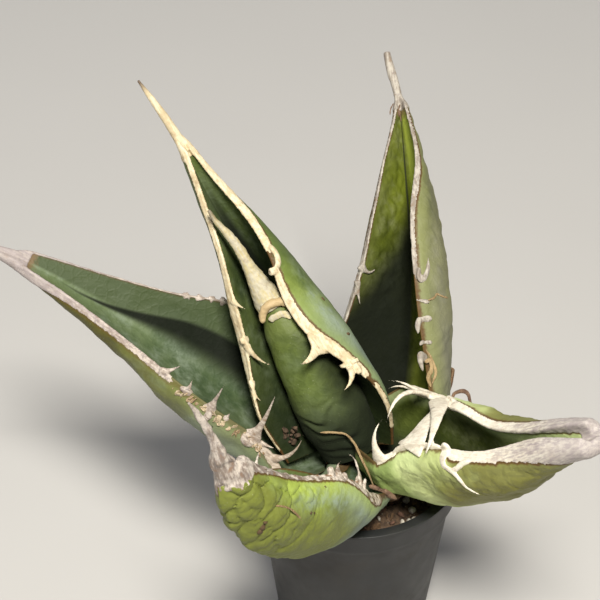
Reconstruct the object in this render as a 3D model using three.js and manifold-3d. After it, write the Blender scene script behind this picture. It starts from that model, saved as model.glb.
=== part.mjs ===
// Potted agave titanota: a young rosette of five open leaves around a rolled central spindle,
// standing in a round plastic nursery pot. Millimetres, +Z up, origin at the middle of the pot's foot.
// Bearings are degrees from +X toward +Y, and lifts are degrees above the horizontal.
// A leaf's left margin is the one on the left hand when looking from its base to its tip.

import * as THREE from 'three';
import { mergeVertices } from 'three/addons/utils/BufferGeometryUtils.js';
import Module from 'manifold-3d';

const wasm = await Module();
wasm.setup();

// Clearances and section counts
const GAP = 0.3;
const CLASP_GAP = 0.5;
const MARGIN_THICKNESS = 1.5;
const BLADE_STATIONS = 13;
const BLADE_HALF_STEPS = 3;
const TIP_STATIONS = 3;
const SPINE_STATIONS = 6;
const ROUND_SEGMENTS = 36;
const ROUND_SIDES = 14;
const SPINDLE_STATIONS = 8;
const SPINDLE_SPINE_STATIONS = 10;
const HOLE_SEGMENTS = 16;
const COURSE_STEPS = 240;

// The keel is the share of a wing in which the thickness turns square to the midrib. A band starts and
// ends at shares of the leaf's length. A tooth's root is sunk into the margin and it bows outward by a
// share of its size, and its tip keeps a small radius.
const KEEL_SHARE = 0.35;
const BAND_BULGE = 0.35;
const BAND_EDGE = 0.15;
const BAND_START = 0.03;
const BAND_OVERRUN = 0.03;
const TOOTH_SIDES = 6;
const TOOTH_ROOT = 0.5;
const TOOTH_BOW = 0.25;
const TOOTH_TIP_RADIUS = 0.12;
const TOOTH_TAPER = [[0, 1], [0.3, 0.72], [0.65, 0.4], [1, 0]];

// Pot, soil and stem
const POT = {
  height: 56, footRadius: 20, rimRadius: 27.5, wall: 1.2, floor: 2, lipHeight: 7, lipOut: 1.3,
  holes: 4, holeRadius: 2.5, holeReach: 13,
};
const SOIL = { edge: 50.5, heap: 53.5 };
const HEEL_REACH = 6;
const HEEL_WIDTH = 0.6;
const STEM = { foot: 46, radius: 9, neck: 6.5, shoulder: 60, top: 66 };

// Each leaf: where its midrib starts, its course, and its section from base to tip.
// half is half the width along the section, fold is how far each wing stands up at the midrib, and
// curlLeft and curlRight are how much further the wing turns by its margin.
// A tooth stands at a share of the leaf's length and reaches out, along and up, in millimetres.
const LEAVES = {
  tall: {
    base: { reach: 5.6, bearing: 202, height: 63.8 },
    length: 86,
    lift: [63, 49, 56, 66],
    turn: [118, 136, 153, 152],
    roll: [-20, -34, -3],
    half: [16, 24, 22.5, 19.5, 9, 1.6],
    fold: [20, 50, 36],
    curlLeft: [5, 0, 0],
    curlRight: [46, 76, 64],
    skew: [-0.1, -0.16, -0.1],
    thickness: [4, 5.5, 5.5, 2.5, 1.8],
    bandLeft: [0.8, 1.4, 1.8, 1.4, 1.4, 1.6],
    bandRight: [0.8, 1.6, 1.6, 2.2, 2.4, 1.6],
    bladeEnd: 0.93,
    spine: { length: 19.5, lift: [61, 55, 53], turn: [154, 158, 159], radius: [1.7, 1.2, 0.8, 0.25] },
    teethLeft: [
      { at: 0.55, out: 1, along: -3.5, up: 2, width: 1.4 },
      { at: 0.41, out: -3, along: -7, up: 4.5, width: 2.4 },
      { at: 0.3, out: -1, along: -5.5, up: 2.5, width: 1.2 },
      { at: 0.26, out: 0, along: -5.5, up: 2, width: 1.2 },
    ],
    teethRight: [
      { at: 0.59, out: 3, along: 2.5, up: 2.5, width: 1.8 },
      { at: 0.33, out: 10, along: -1, up: 4, width: 4 },
      { at: 0.245, out: 8, along: -3.5, up: 5, width: 3 },
      { at: 0.21, out: 1.5, along: -2.5, up: 0.6, width: 1.3 },
    ],
  },
  back: {
    base: { reach: 11.3, bearing: 26, height: 58.7 },
    length: 87,
    lift: [58, 56, 42, 36],
    turn: [68, 85, 94, 95],
    roll: [1, -11, -1],
    half: [16.5, 21, 20, 15.5, 10, 2.6],
    fold: [20, 47, 47],
    curlLeft: [0, 1, 0],
    curlRight: [44, 63, 44],
    skew: [0, -0.08, -0.1],
    thickness: [7, 6, 6.5, 3.5, 2],
    bandLeft: [0.8, 0.9, 0.9, 0.9, 0.9, 1.4],
    bandRight: [0.8, 0.9, 1.2, 1.4, 1.4, 1.4],
    bladeEnd: 0.95,
    spine: { length: 16, lift: [34, 30, 37], turn: [95, 107, 101], radius: [1.9, 1.4, 1.2, 0.5] },
    teethLeft: [
      { at: 0.51, out: -2, along: 0, up: 3.2, width: 1.5 },
      { at: 0.45, out: -1, along: -4.5, up: 1.5, width: 1.4 },
    ],
    teethRight: [
      { at: 0.48, out: 1.5, along: 4.5, up: -3.5, width: 2.8 },
      { at: 0.42, out: 1.5, along: 0, up: -2, width: 1.6 },
      { at: 0.37, out: 2, along: 0.5, up: -3.5, width: 2.4 },
      { at: 0.32, out: 2.7, along: -0.6, up: 1.5, width: 2 },
      { at: 0.275, out: 5, along: -2.5, up: 3.5, width: 3 },
    ],
  },
  left: {
    base: { reach: 13.3, bearing: 195.5, height: 59.4 },
    length: 88,
    lift: [42, 36, 35, 34],
    turn: [148, 167, 170, 176],
    roll: [-20, -23, -23],
    half: [17, 20, 21, 13.5, 7.3, 2.6],
    fold: [21, 20, 20],
    curlLeft: [66, 59, 36],
    curlRight: [26, 11, 0],
    skew: [0.05, 0.1, 0.15],
    thickness: [6.5, 7.5, 6.3, 4.8, 3.4],
    bandLeft: [0.9, 1.2, 1.6, 2, 2.2, 2],
    bandRight: [0.8, 0.8, 0.9, 1, 1.2, 1.6],
    bladeEnd: 0.93,
    spine: { length: 12, lift: [30, 30, 34], turn: [178, 179, 176], radius: [2.6, 2, 1.3, 0.4] },
    teethLeft: [
      { at: 0.52, out: 2, along: -2, up: 2, width: 2.2 },
      { at: 0.455, out: 2.7, along: 0.4, up: 2.2, width: 1.9 },
      { at: 0.37, out: 6, along: 1.5, up: 5, width: 2.9 },
      { at: 0.305, out: 2, along: 0.7, up: 1.6, width: 1.9 },
      { at: 0.225, out: 10.5, along: 3.5, up: 8, width: 3.8 },
      { at: 0.165, out: 2.7, along: -2.5, up: 1.4, width: 1.3 },
      { at: 0.12, out: 9.5, along: 0, up: 7.5, width: 2 },
    ],
    teethRight: [
      { at: 0.56, out: 1.5, along: 0, up: 0, width: 1.2 },
      { at: 0.53, out: 1.2, along: -0.5, up: 0.4, width: 1.2 },
      { at: 0.49, out: 1.4, along: -0.5, up: 0, width: 1.3 },
      { at: 0.455, out: 1.2, along: -0.6, up: 0, width: 1.3 },
    ],
  },
  right: {
    base: { reach: 16.4, bearing: 323, height: 63.4 },
    length: 70,
    lift: [17, 37, 57, 31],
    turn: [-25, -52, -49, -34],
    roll: [8, 23, 45],
    half: [22.5, 20, 18, 11.3, 6, 3.6],
    fold: [31, 38, 20],
    curlLeft: [69, 57, 20],
    curlRight: [44, 46, 27],
    skew: [0.1, -0.1, -0.15],
    thickness: [6, 7.5, 7.3, 6, 3.7],
    bandLeft: [1.2, 2, 1.8, 1.6, 2, 2.4],
    bandRight: [1.4, 2, 2.8, 3, 3, 2.6],
    bladeEnd: 0.9,
    spine: { length: 8.5, lift: [38, 48, 48], turn: [-34, -34, -34], radius: [3, 2.1, 1.2, 0.4] },
    teethLeft: [
      { at: 0.07, out: 1.4, along: -6.6, up: 1.8, width: 1.4 },
      { at: 0.1, out: -7, along: -10.5, up: 9, width: 2.4 },
      { at: 0.21, out: -10, along: -7, up: 11, width: 4.6 },
    ],
    teethRight: [
      { at: 0.06, out: 9.5, along: 4.5, up: 3.5, width: 3.4 },
      { at: 0.325, out: 6, along: 8.5, up: 4.5, width: 6.5 },
      { at: 0.47, out: 2.6, along: 0.6, up: 1.5, width: 2.8 },
      { at: 0.5, out: -2, along: 3.5, up: -6.5, width: 2.4 },
    ],
  },
  front: {
    base: { reach: 14.5, bearing: 261.5, height: 62.2 },
    length: 80,
    lift: [7, 30, 54, 86],
    turn: [250, 245, 225, 201],
    roll: [-24, 13, 28],
    half: [11.5, 13.5, 17, 13.7, 9.6, 3.5],
    fold: [24, 48, 56],
    curlLeft: [23, 32, 28],
    curlRight: [30, 20, 10],
    skew: [0, 0, 0],
    thickness: [6.3, 6.5, 5.4, 4.9, 3],
    bandLeft: [0.9, 1.4, 1.6, 1.5, 1.8, 3],
    bandRight: [0.9, 1.2, 1.4, 1.4, 1.8, 3],
    bladeEnd: 0.9,
    spine: { length: 23, lift: [90, 72, 63], turn: [201, 199, 194], radius: [3.2, 2.4, 1.5, 0.4] },
    teethLeft: [
      { at: 0.475, out: 3, along: 2, up: 1, width: 2.4 },
      { at: 0.43, out: 3.5, along: 1, up: 0.6, width: 2.4 },
      { at: 0.35, out: 2.4, along: 1.7, up: 0.6, width: 1.6 },
      { at: 0.3, out: 2.8, along: 9, up: 4.3, width: 2.1 },
    ],
    teethRight: [],
  },
};

// The rolled young leaf in the middle: its axis, its radii from the stem to its tip, and its spine
const SPINDLE = {
  foot: [-1.7, -6.1, 67],
  length: 44,
  lift: [64, 58, 50],
  turn: [155, 147, 149],
  radius: [8, 9, 8.8, 7.6, 6.2, 3],
  hornFrom: 0.84,
  spine: {
    length: 27, lift: [55, 56, 55, 45, 54], turn: [149, 149, 145, 158, 148],
    radius: [3, 2.3, 1.7, 1.2, 0.8, 0.3],
  },
};

// Withered scraps of old leaves between the green ones and the soil
const DRY_LEAVES = {
  right: {
    base: { reach: 12, bearing: 38, height: 56.6 },
    length: 26,
    lift: [4, 12, 30, 70],
    turn: [40, 42, 46, 52],
    roll: [0, 10],
    half: [5, 6, 5.5, 4, 1.2],
    fold: [12, 20],
    curlLeft: [20, 60],
    curlRight: [20, 70],
    skew: [0, 0],
    thickness: [2, 1.8, 1.6],
    bandLeft: [0, 0],
    bandRight: [0, 0],
    bladeEnd: 1,
  },
  front: {
    base: { reach: 11, bearing: 300, height: 55.8 },
    length: 12,
    lift: [5, 30, 60],
    turn: [300, 296, 290],
    roll: [0, -15],
    half: [5, 5, 3, 1],
    fold: [12, 25],
    curlLeft: [20, 60],
    curlRight: [20, 50],
    skew: [0, 0],
    thickness: [2, 1.8, 1.6],
    bandLeft: [0, 0],
    bandRight: [0, 0],
    bladeEnd: 1,
  },
};

const FINISHES = {
  pot: { colour: '#1b1c1d', roughness: 0.5 },
  soil: { colour: '#4a3526', roughness: 0.95 },
  stem: { colour: '#8d8f62', roughness: 0.7 },
  leaf: { colour: '#5f7a4a', roughness: 0.55 },
  spindle: { colour: '#55703f', roughness: 0.5 },
  horn: { colour: '#ddd3bd', roughness: 0.7 },
  dry: { colour: '#7c5c41', roughness: 0.85 },
};

const rad = THREE.MathUtils.degToRad;

// The value at share t of a list of evenly spaced values, along a smooth curve through them
function along(values, t) {
  const last = values.length - 1;
  const x = Math.min(Math.max(t, 0), 1) * last;
  const i = Math.min(Math.floor(x), last - 1);
  const u = x - i;
  const b = values[i];
  const c = values[i + 1];
  const a = i > 0 ? values[i - 1] : 2 * b - c;
  const d = i + 2 <= last ? values[i + 2] : 2 * c - b;
  return b + 0.5 * u * (c - a + u * (2 * a - 5 * b + 4 * c - d + u * (3 * (b - c) + d - a)));
}

// A course of frames from a start point: point, tangent, side (to the left) and normal (up)
function course(start, length, lift, turn, roll) {
  const points = [start.clone()];
  const heading = (t) => {
    const up = rad(along(lift, t));
    const bearing = rad(along(turn, t));
    return new THREE.Vector3(
      Math.cos(up) * Math.cos(bearing), Math.cos(up) * Math.sin(bearing), Math.sin(up));
  };
  for (let i = 0; i < COURSE_STEPS; i += 1) {
    points.push(points[i].clone().addScaledVector(heading((i + 0.5) / COURSE_STEPS), length / COURSE_STEPS));
  }
  return (t) => {
    const x = t * COURSE_STEPS;
    const i = Math.min(Math.max(Math.floor(x), 0), COURSE_STEPS - 1);
    const point = points[i].clone().lerp(points[i + 1], x - i);
    const tangent = heading(t);
    const bearing = rad(along(turn, t));
    const level = new THREE.Vector3(-Math.sin(bearing), Math.cos(bearing), 0);
    const upright = tangent.clone().cross(level);
    const lean = rad(along(roll, t));
    const side = level.clone().multiplyScalar(Math.cos(lean)).addScaledVector(upright, Math.sin(lean));
    const normal = upright.multiplyScalar(Math.cos(lean)).addScaledVector(level, -Math.sin(lean));
    return { point, tangent, side, normal };
  };
}

function leafCourse(leaf) {
  const { reach, bearing, height } = leaf.base;
  const start = new THREE.Vector3(
    reach * Math.cos(rad(bearing)), reach * Math.sin(rad(bearing)), height);
  return course(start, leaf.length, leaf.lift, leaf.turn, leaf.roll);
}

// A point of the leaf's upper face: s runs from -1 at the right margin to 1 at the left one.
// out points to that margin along the face, and up points out of the face.
function facePoint(leaf, frame, t, s) {
  const hand = s < 0 ? -1 : 1;
  const share = Math.abs(s);
  const fold = rad(along(leaf.fold, t));
  const curl = Math.max(rad(along(hand > 0 ? leaf.curlLeft : leaf.curlRight, t)), 0.001);
  const half = along(leaf.half, t) * (1 + hand * along(leaf.skew, t));
  const angle = fold + curl * share;
  const across = half * (Math.sin(angle) - Math.sin(fold)) / curl;
  const rise = half * (Math.cos(fold) - Math.cos(angle)) / curl;
  const point = frame.point.clone().addScaledVector(frame.side, hand * across)
    .addScaledVector(frame.normal, rise);
  const out = frame.side.clone().multiplyScalar(hand * Math.cos(angle))
    .addScaledVector(frame.normal, Math.sin(angle));
  const up = frame.side.clone().multiplyScalar(-hand * Math.sin(angle))
    .addScaledVector(frame.normal, Math.cos(angle));
  return { point, out, up, half };
}

// One closed ring around the leaf's section: the upper face from left to right, then the lower face back
function leafRing(leaf, frame, t, insetLeft, insetRight, grow) {
  const upper = [];
  const lower = [];
  const thickness = along(leaf.thickness, t);
  for (let i = -BLADE_HALF_STEPS; i <= BLADE_HALF_STEPS; i += 1) {
    const hand = i > 0 ? -1 : 1;
    const { half } = facePoint(leaf, frame, t, hand);
    const inset = hand > 0 ? insetLeft : insetRight;
    const edge = 1 - inset / half;
    const s = -i / BLADE_HALF_STEPS * edge;
    const { point, out, up } = facePoint(leaf, frame, t, s);
    const share = Math.abs(s);
    const depth = MARGIN_THICKNESS
      + (thickness - MARGIN_THICKNESS) * Math.sqrt(Math.max(1 - share * share, 0));
    const middle = Math.max(1 - share / KEEL_SHARE, 0);
    const down = up.clone().multiplyScalar(-(1 - middle)).addScaledVector(frame.normal, -middle).normalize();
    const atRim = grow > 0 && Math.abs(i) === BLADE_HALF_STEPS;
    const rim = atRim ? inset + grow : 0;
    const around = atRim ? grow + 2 * BAND_BULGE : grow;
    upper.push(point.clone().addScaledVector(up, around).addScaledVector(out, rim));
    lower.push(point.clone().addScaledVector(down, depth + around).addScaledVector(out, rim));
  }
  return upper.concat(lower.reverse());
}

// A ring of points around a frame
function roundRing({ point, side, normal }, r, sides = ROUND_SIDES, turn = 0) {
  return Array.from({ length: sides }, (_, i) => {
    const angle = 2 * Math.PI * (i + turn) / sides;
    return point.clone().addScaledVector(side, r * Math.cos(angle)).addScaledVector(normal, r * Math.sin(angle));
  });
}

// A closed geometry through rings of equal length. pairedCaps closes each end between matching points
// of the ring's two halves, which suits a bent section; otherwise each end is a fan.
function skin(rings, pairedCaps) {
  const count = rings[0].length;
  const positions = [];
  const index = [];
  rings.forEach((ring) => ring.forEach((p) => positions.push(p.x, p.y, p.z)));
  for (let r = 0; r + 1 < rings.length; r += 1) {
    for (let i = 0; i < count; i += 1) {
      const j = (i + 1) % count;
      const a = r * count + i;
      const b = r * count + j;
      index.push(a, b, a + count, b, b + count, a + count);
    }
  }
  const cap = (start, flip) => {
    const put = (a, b, c) => (flip ? index.push(a, c, b) : index.push(a, b, c));
    for (let i = 1; i + 1 < count && !pairedCaps; i += 1) {
      put(start, start + i, start + i + 1);
    }
    for (let i = 0; i + 1 < count / 2 && pairedCaps; i += 1) {
      const under = start + count - 1 - i;
      put(start + i, start + i + 1, under);
      put(start + i + 1, under - 1, under);
    }
  };
  cap(0, true);
  cap((rings.length - 1) * count, false);
  const geometry = new THREE.BufferGeometry();
  geometry.setAttribute('position', new THREE.Float32BufferAttribute(positions, 3));
  geometry.setIndex(index);
  return geometry;
}

// Between three.js geometry and solids that can be joined and cut
function toSolid(geometry) {
  const bare = geometry.clone();
  bare.deleteAttribute('normal');
  bare.deleteAttribute('uv');
  const merged = mergeVertices(bare, 1e-4);
  const mesh = new wasm.Mesh({
    numProp: 3,
    vertProperties: new Float32Array(merged.attributes.position.array),
    triVerts: new Uint32Array(merged.index.array),
  });
  return new wasm.Manifold(mesh);
}

function toGeometry(solid) {
  const mesh = solid.getMesh();
  const geometry = new THREE.BufferGeometry();
  geometry.setAttribute('position', new THREE.Float32BufferAttribute(mesh.vertProperties, 3));
  geometry.setIndex(mainBody(Array.from(mesh.triVerts), mesh.vertProperties.length / 3));
  return geometry;
}

// The triangles of the largest connected body, because a cut can leave a loose sliver behind
function mainBody(triangles, vertexCount) {
  const parent = Array.from({ length: vertexCount }, (_, i) => i);
  const root = (i) => {
    let r = i;
    while (parent[r] !== r) r = parent[r];
    return r;
  };
  for (let k = 0; k < triangles.length; k += 3) {
    parent[root(triangles[k])] = root(triangles[k + 1]);
    parent[root(triangles[k + 1])] = root(triangles[k + 2]);
  }
  const sizes = new Map();
  const owner = triangles.map((vertex) => root(vertex));
  owner.forEach((r) => sizes.set(r, (sizes.get(r) ?? 0) + 1));
  const [main] = [...sizes].sort((a, b) => b[1] - a[1])[0];
  return triangles.filter((_, k) => owner[k] === main);
}

// The green blade, from its heel on the stem to where the horn takes over
function blade(leaf, grow = 0) {
  const frameAt = leafCourse(leaf);
  const rings = [];
  const insets = (t) => [along(leaf.bandLeft, t) + GAP, along(leaf.bandRight, t) + GAP];
  const heel = frameAt(0);
  const inward = Math.min(HEEL_REACH / leaf.base.reach, 1);
  heel.point.set(heel.point.x * inward, heel.point.y * inward, heel.point.z);
  const narrow = { ...leaf, half: leaf.half.map((w) => w * HEEL_WIDTH) };
  rings.push(leafRing(narrow, heel, 0, ...insets(0), grow));
  for (let k = 0; k <= BLADE_STATIONS; k += 1) {
    const t = leaf.bladeEnd * k / BLADE_STATIONS;
    rings.push(leafRing(leaf, frameAt(t), t, ...insets(t), grow));
  }
  return toSolid(skin(rings, true));
}

// One margin's horny band: a strip with a rounded outer edge, just outside the green blade
function band(leaf, frameAt, hand) {
  const widths = hand > 0 ? leaf.bandLeft : leaf.bandRight;
  const rings = [];
  for (let k = 0; k <= BLADE_STATIONS; k += 1) {
    const overrun = k === BLADE_STATIONS ? BAND_OVERRUN : 0;
    const t = Math.max(leaf.bladeEnd * k / BLADE_STATIONS + overrun, BAND_START);
    const { point, out, up } = facePoint(leaf, frameAt(t), t, hand);
    const width = along(widths, t);
    const section = [
      [-width, 0], [-0.3 * width, BAND_BULGE], [BAND_EDGE, -BAND_EDGE],
      [BAND_EDGE, BAND_EDGE - MARGIN_THICKNESS], [-0.3 * width, -MARGIN_THICKNESS - BAND_BULGE],
      [-width, -MARGIN_THICKNESS],
    ];
    const ring = section.map(([x, y]) => point.clone().addScaledVector(out, x).addScaledVector(up, y));
    rings.push(hand > 0 ? ring.reverse() : ring);
  }
  return toSolid(skin(rings, false));
}

// The horn sheath at the leaf's tip, running out into the terminal spine
function tipAndSpine(leaf, frameAt) {
  const rings = [];
  const start = leaf.bladeEnd + GAP / leaf.length;
  for (let k = 0; k < TIP_STATIONS; k += 1) {
    const t = start + (1 - start) * k / TIP_STATIONS;
    rings.push(leafRing(leaf, frameAt(t), t, 0, 0, 0));
  }
  const { length, lift, turn, radius } = leaf.spine;
  const end = frameAt(1);
  const foot = end.point.clone().addScaledVector(end.normal, -0.4 * radius[0]);
  const spineAt = course(foot, length, lift, turn, leaf.roll.slice(-2));
  const count = rings[0].length;
  for (let k = 0; k <= SPINE_STATIONS; k += 1) {
    const t = k / SPINE_STATIONS;
    rings.push(roundRing(spineAt(t), along(radius, t), count, 0.5));
  }
  return toSolid(skin(rings, true));
}

// A hooked tooth that leaves the margin outward and bends over to its tip
function tooth(leaf, frameAt, hand, spec) {
  const { tangent } = frameAt(spec.at);
  const { point, out, up } = facePoint(leaf, frameAt(spec.at), spec.at, hand);
  const foot = point.clone().addScaledVector(out, -TOOTH_ROOT).addScaledVector(up, -MARGIN_THICKNESS / 2);
  const reach = tangent.clone().multiplyScalar(spec.along)
    .addScaledVector(out, spec.out).addScaledVector(up, spec.up);
  const size = reach.length();
  const bend = foot.clone().addScaledVector(reach, 0.4).addScaledVector(out, TOOTH_BOW * size);
  const curve = new THREE.QuadraticBezierCurve3(foot, bend, foot.clone().add(reach));
  const rings = TOOTH_TAPER.map(([u, share]) => {
    const heading = curve.getTangent(u);
    const wide = tangent.clone().addScaledVector(heading, -tangent.dot(heading)).normalize();
    const thin = heading.clone().cross(wide);
    const a = Math.max(share * spec.width / 2, TOOTH_TIP_RADIUS);
    const b = Math.max(share * Math.min(spec.width, MARGIN_THICKNESS) / 2, TOOTH_TIP_RADIUS);
    const centre = curve.getPoint(u);
    return Array.from({ length: TOOTH_SIDES }, (_, i) => {
      const angle = 2 * Math.PI * i / TOOTH_SIDES;
      return centre.clone().addScaledVector(wide, a * Math.cos(angle)).addScaledVector(thin, b * Math.sin(angle));
    });
  });
  return toSolid(skin(rings, false));
}

// All the horn of one leaf: both bands, the tip with its spine, and the teeth, as one body
function horn(leaf) {
  const frameAt = leafCourse(leaf);
  let solid = tipAndSpine(leaf, frameAt).add(band(leaf, frameAt, 1)).add(band(leaf, frameAt, -1));
  leaf.teethLeft.forEach((spec) => { solid = solid.add(tooth(leaf, frameAt, 1, spec)); });
  leaf.teethRight.forEach((spec) => { solid = solid.add(tooth(leaf, frameAt, -1, spec)); });
  return solid;
}

// The central spindle: a rolled leaf as a tapering solid, with its own cap of horn and spine
const spindleCourse = course(
  new THREE.Vector3(...SPINDLE.foot), SPINDLE.length, SPINDLE.lift, SPINDLE.turn, [0, 0]);

function spindle(to, grow = 0) {
  const rings = [];
  for (let k = 0; k <= SPINDLE_STATIONS; k += 1) {
    const t = to * k / SPINDLE_STATIONS;
    rings.push(roundRing(spindleCourse(t), along(SPINDLE.radius, t) + grow));
  }
  return toSolid(skin(rings, false));
}

// Its cap starts just above the green body and runs out into the spine
function spindleHorn() {
  const { length, lift, turn, radius } = SPINDLE.spine;
  const spineCourse = course(spindleCourse(1).point, length, lift, turn, [0, 0]);
  const start = SPINDLE.hornFrom + GAP / SPINDLE.length;
  const rings = [start, (start + 1) / 2].map((t) => roundRing(spindleCourse(t), along(SPINDLE.radius, t)));
  for (let k = 0; k <= SPINDLE_SPINE_STATIONS; k += 1) {
    const t = k / SPINDLE_SPINE_STATIONS;
    rings.push(roundRing(spineCourse(t), along(radius, t)));
  }
  return toSolid(skin(rings, false));
}

// Round pieces turned about the pot's axis, from a profile of [radius, height] pairs
function turned(profile) {
  const points = profile.map(([r, z]) => new THREE.Vector2(r, z));
  const geometry = new THREE.LatheGeometry(points, ROUND_SEGMENTS);
  geometry.rotateX(Math.PI / 2);
  return toSolid(geometry);
}

function potRadius(z) {
  return POT.footRadius + (POT.rimRadius - POT.lipOut - POT.footRadius) * z / POT.height;
}

function pot() {
  const lip = POT.height - POT.lipHeight;
  let body = turned([
    [0, 0], [POT.footRadius, 0],
    [potRadius(lip), lip], [potRadius(lip) + POT.lipOut, lip],
    [POT.rimRadius, POT.height], [potRadius(POT.height) - POT.wall, POT.height],
    [potRadius(lip) - POT.wall, lip], [potRadius(POT.floor) - POT.wall, POT.floor],
    [0, POT.floor],
  ]);
  for (let k = 0; k < POT.holes; k += 1) {
    const hole = new THREE.CylinderGeometry(POT.holeRadius, POT.holeRadius, 4 * POT.floor, HOLE_SEGMENTS);
    hole.rotateX(Math.PI / 2);
    const bearing = 2 * Math.PI * (k + 0.5) / POT.holes;
    hole.translate(POT.holeReach * Math.cos(bearing), POT.holeReach * Math.sin(bearing), 0);
    body = body.subtract(toSolid(hole));
  }
  return body;
}

// The soil fills the pot to just below its rim, heaped a little round the stem's hole
function soil() {
  const bottom = POT.floor + GAP;
  const inner = (z) => potRadius(z) - POT.wall - GAP;
  return turned([
    [0, bottom], [inner(bottom) - 1, bottom], [inner(bottom + 1), bottom + 1],
    [inner(SOIL.edge), SOIL.edge], [STEM.radius + 4, SOIL.heap], [STEM.radius + GAP, SOIL.heap],
    [STEM.radius + GAP, STEM.foot - GAP], [0, STEM.foot - GAP],
  ]);
}

function stem(grow = 0) {
  return turned([
    [0, STEM.foot - grow], [STEM.radius + grow, STEM.foot - grow], [STEM.radius + grow, STEM.shoulder],
    [STEM.neck + grow, STEM.top + grow], [0, STEM.top + grow],
  ]);
}

// Every piece as a solid. The leaves clasp each other at their bases, so each one is cut
// back, with the gap, from the stem, from the spindle and from the leaves that stand inside it.
const inside = [stem(GAP), spindle(1, GAP)];
const solids = {
  pot: pot(), soil: soil(), stem: stem(),
  spindle: spindle(SPINDLE.hornFrom).subtract(stem(GAP)), spindle_horn: spindleHorn(),
};
Object.entries(LEAVES).forEach(([name, leaf]) => {
  const cut = (solid) => inside.reduce((rest, other) => rest.subtract(other), solid);
  solids[`leaf_${name}`] = cut(blade(leaf));
  solids[`leaf_${name}_horn`] = cut(horn(leaf));
  inside.push(blade(leaf, CLASP_GAP));
});
Object.entries(DRY_LEAVES).forEach(([name, leaf]) => {
  solids[`dry_leaf_${name}`] = inside.reduce((rest, other) => rest.subtract(other), blade(leaf));
});

// Each piece's own material, and the finished plant
const group = new THREE.Group();
Object.entries(solids).forEach(([name, solid]) => {
  const kind = name.endsWith('horn') ? 'horn' : name.split('_')[0];
  const { colour, roughness } = FINISHES[kind];
  const material = new THREE.MeshStandardMaterial({ color: colour, roughness, metalness: 0 });
  const mesh = new THREE.Mesh(toGeometry(solid), material);
  mesh.name = name;
  group.add(mesh);
});

export default group;
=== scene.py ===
"""Looks of a potted agave titanota, laid out as an add-on and run as a script.

Lengths in the tables are millimetres, bearings are degrees from +X toward +Y, and lifts are degrees above
the horizontal. A leaf's left margin is on the left hand when looking from its base to its tip.
"""

import math
import random
from typing import NamedTuple

import bpy
from bpy.props import FloatProperty, FloatVectorProperty, IntProperty, PointerProperty
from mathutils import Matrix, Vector, kdtree, noise


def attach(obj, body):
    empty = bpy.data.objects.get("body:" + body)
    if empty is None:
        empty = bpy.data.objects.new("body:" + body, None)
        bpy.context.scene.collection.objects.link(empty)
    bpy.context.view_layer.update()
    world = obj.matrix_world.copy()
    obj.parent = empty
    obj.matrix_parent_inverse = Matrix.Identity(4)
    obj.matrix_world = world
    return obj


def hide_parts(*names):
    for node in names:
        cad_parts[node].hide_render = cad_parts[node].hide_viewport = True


bl_info = {
    "name": "Potted agave titanota",
    "version": (1, 0, 0),
    "blender": (4, 5, 0),
    "location": "View3D > Sidebar > Agave",
    "description": "Builds a young agave titanota in its nursery pot",
    "category": "Add Mesh",
}

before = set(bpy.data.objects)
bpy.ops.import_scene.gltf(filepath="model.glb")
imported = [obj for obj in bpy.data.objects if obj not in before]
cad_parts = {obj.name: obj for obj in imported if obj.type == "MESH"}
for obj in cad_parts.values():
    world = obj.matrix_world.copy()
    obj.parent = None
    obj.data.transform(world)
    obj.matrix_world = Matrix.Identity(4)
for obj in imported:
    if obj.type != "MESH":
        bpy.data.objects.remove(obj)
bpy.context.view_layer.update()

MM = 0.001
MERGE_DISTANCE = 1e-7
SEED = 7
HANDS = {1: "left", -1: "right"}
FACES = ("upper", "lower")

# Leaf sections. The keel is the share of a wing in which the thickness turns square to the midrib, and the
# heel is the narrowed foot of a leaf, which reaches in to the stem. The relief fades out over some
# millimetres toward the horn.
KEEL_SHARE = 0.35
CREASE_SOFTNESS = 0.03
LEAST_CURL = 0.001
HEEL_REACH = 6
HEEL_WIDTH = 0.6
HEEL_ROWS = 4
BLADE_END = 0.99
RELIEF_FADE = 2
COURSE_STEPS = 240

# Horn. The rise is how proud of the leaf a band stands, from its inner edge to the margin. The tip's sheath
# is thicker than the leaf by its pad, and the teeth are sunk into the margin.
BAND_RISE = (0.05, 0.16, 0.24, 0.27, 0.27)
BAND_ROWS = 280
BAND_FADE = 0.02
BAND_LEAST = 0.15
TIP_PAD = 0.15
TOOTH_PROFILE = [1.0, 0.86, 0.72, 0.6, 0.48, 0.37, 0.27, 0.17, 0.06]
TOOTH_THICKNESS = 1.7
TOOTH_SUNK = 0.8
SPINDLE_VOXEL = 0.2


class Tooth(NamedTuple):
    """A horny tooth on a margin: where it stands, and its tip and its bend from there as (out, along, up).

    blunt keeps its end wide, flare widens its root, and a taper above 1 keeps it thick for longer.
    """

    at: float
    reach: tuple
    width: float
    bend: tuple = None
    blunt: float = 0.0
    flare: float = 1.5
    taper: float = 1.0


class Strap(NamedTuple):
    """A strap of horn that lies on a wing's outer face, along points of (share of length, inset).

    An inset is the distance from the margin over the face; a negative one stands out past the margin.
    """

    path: list
    width: list
    thick: float = 1.0


class Strand(NamedTuple):
    """A dry straw or scrap of one width along a line of points."""

    width: float
    points: list


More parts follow.
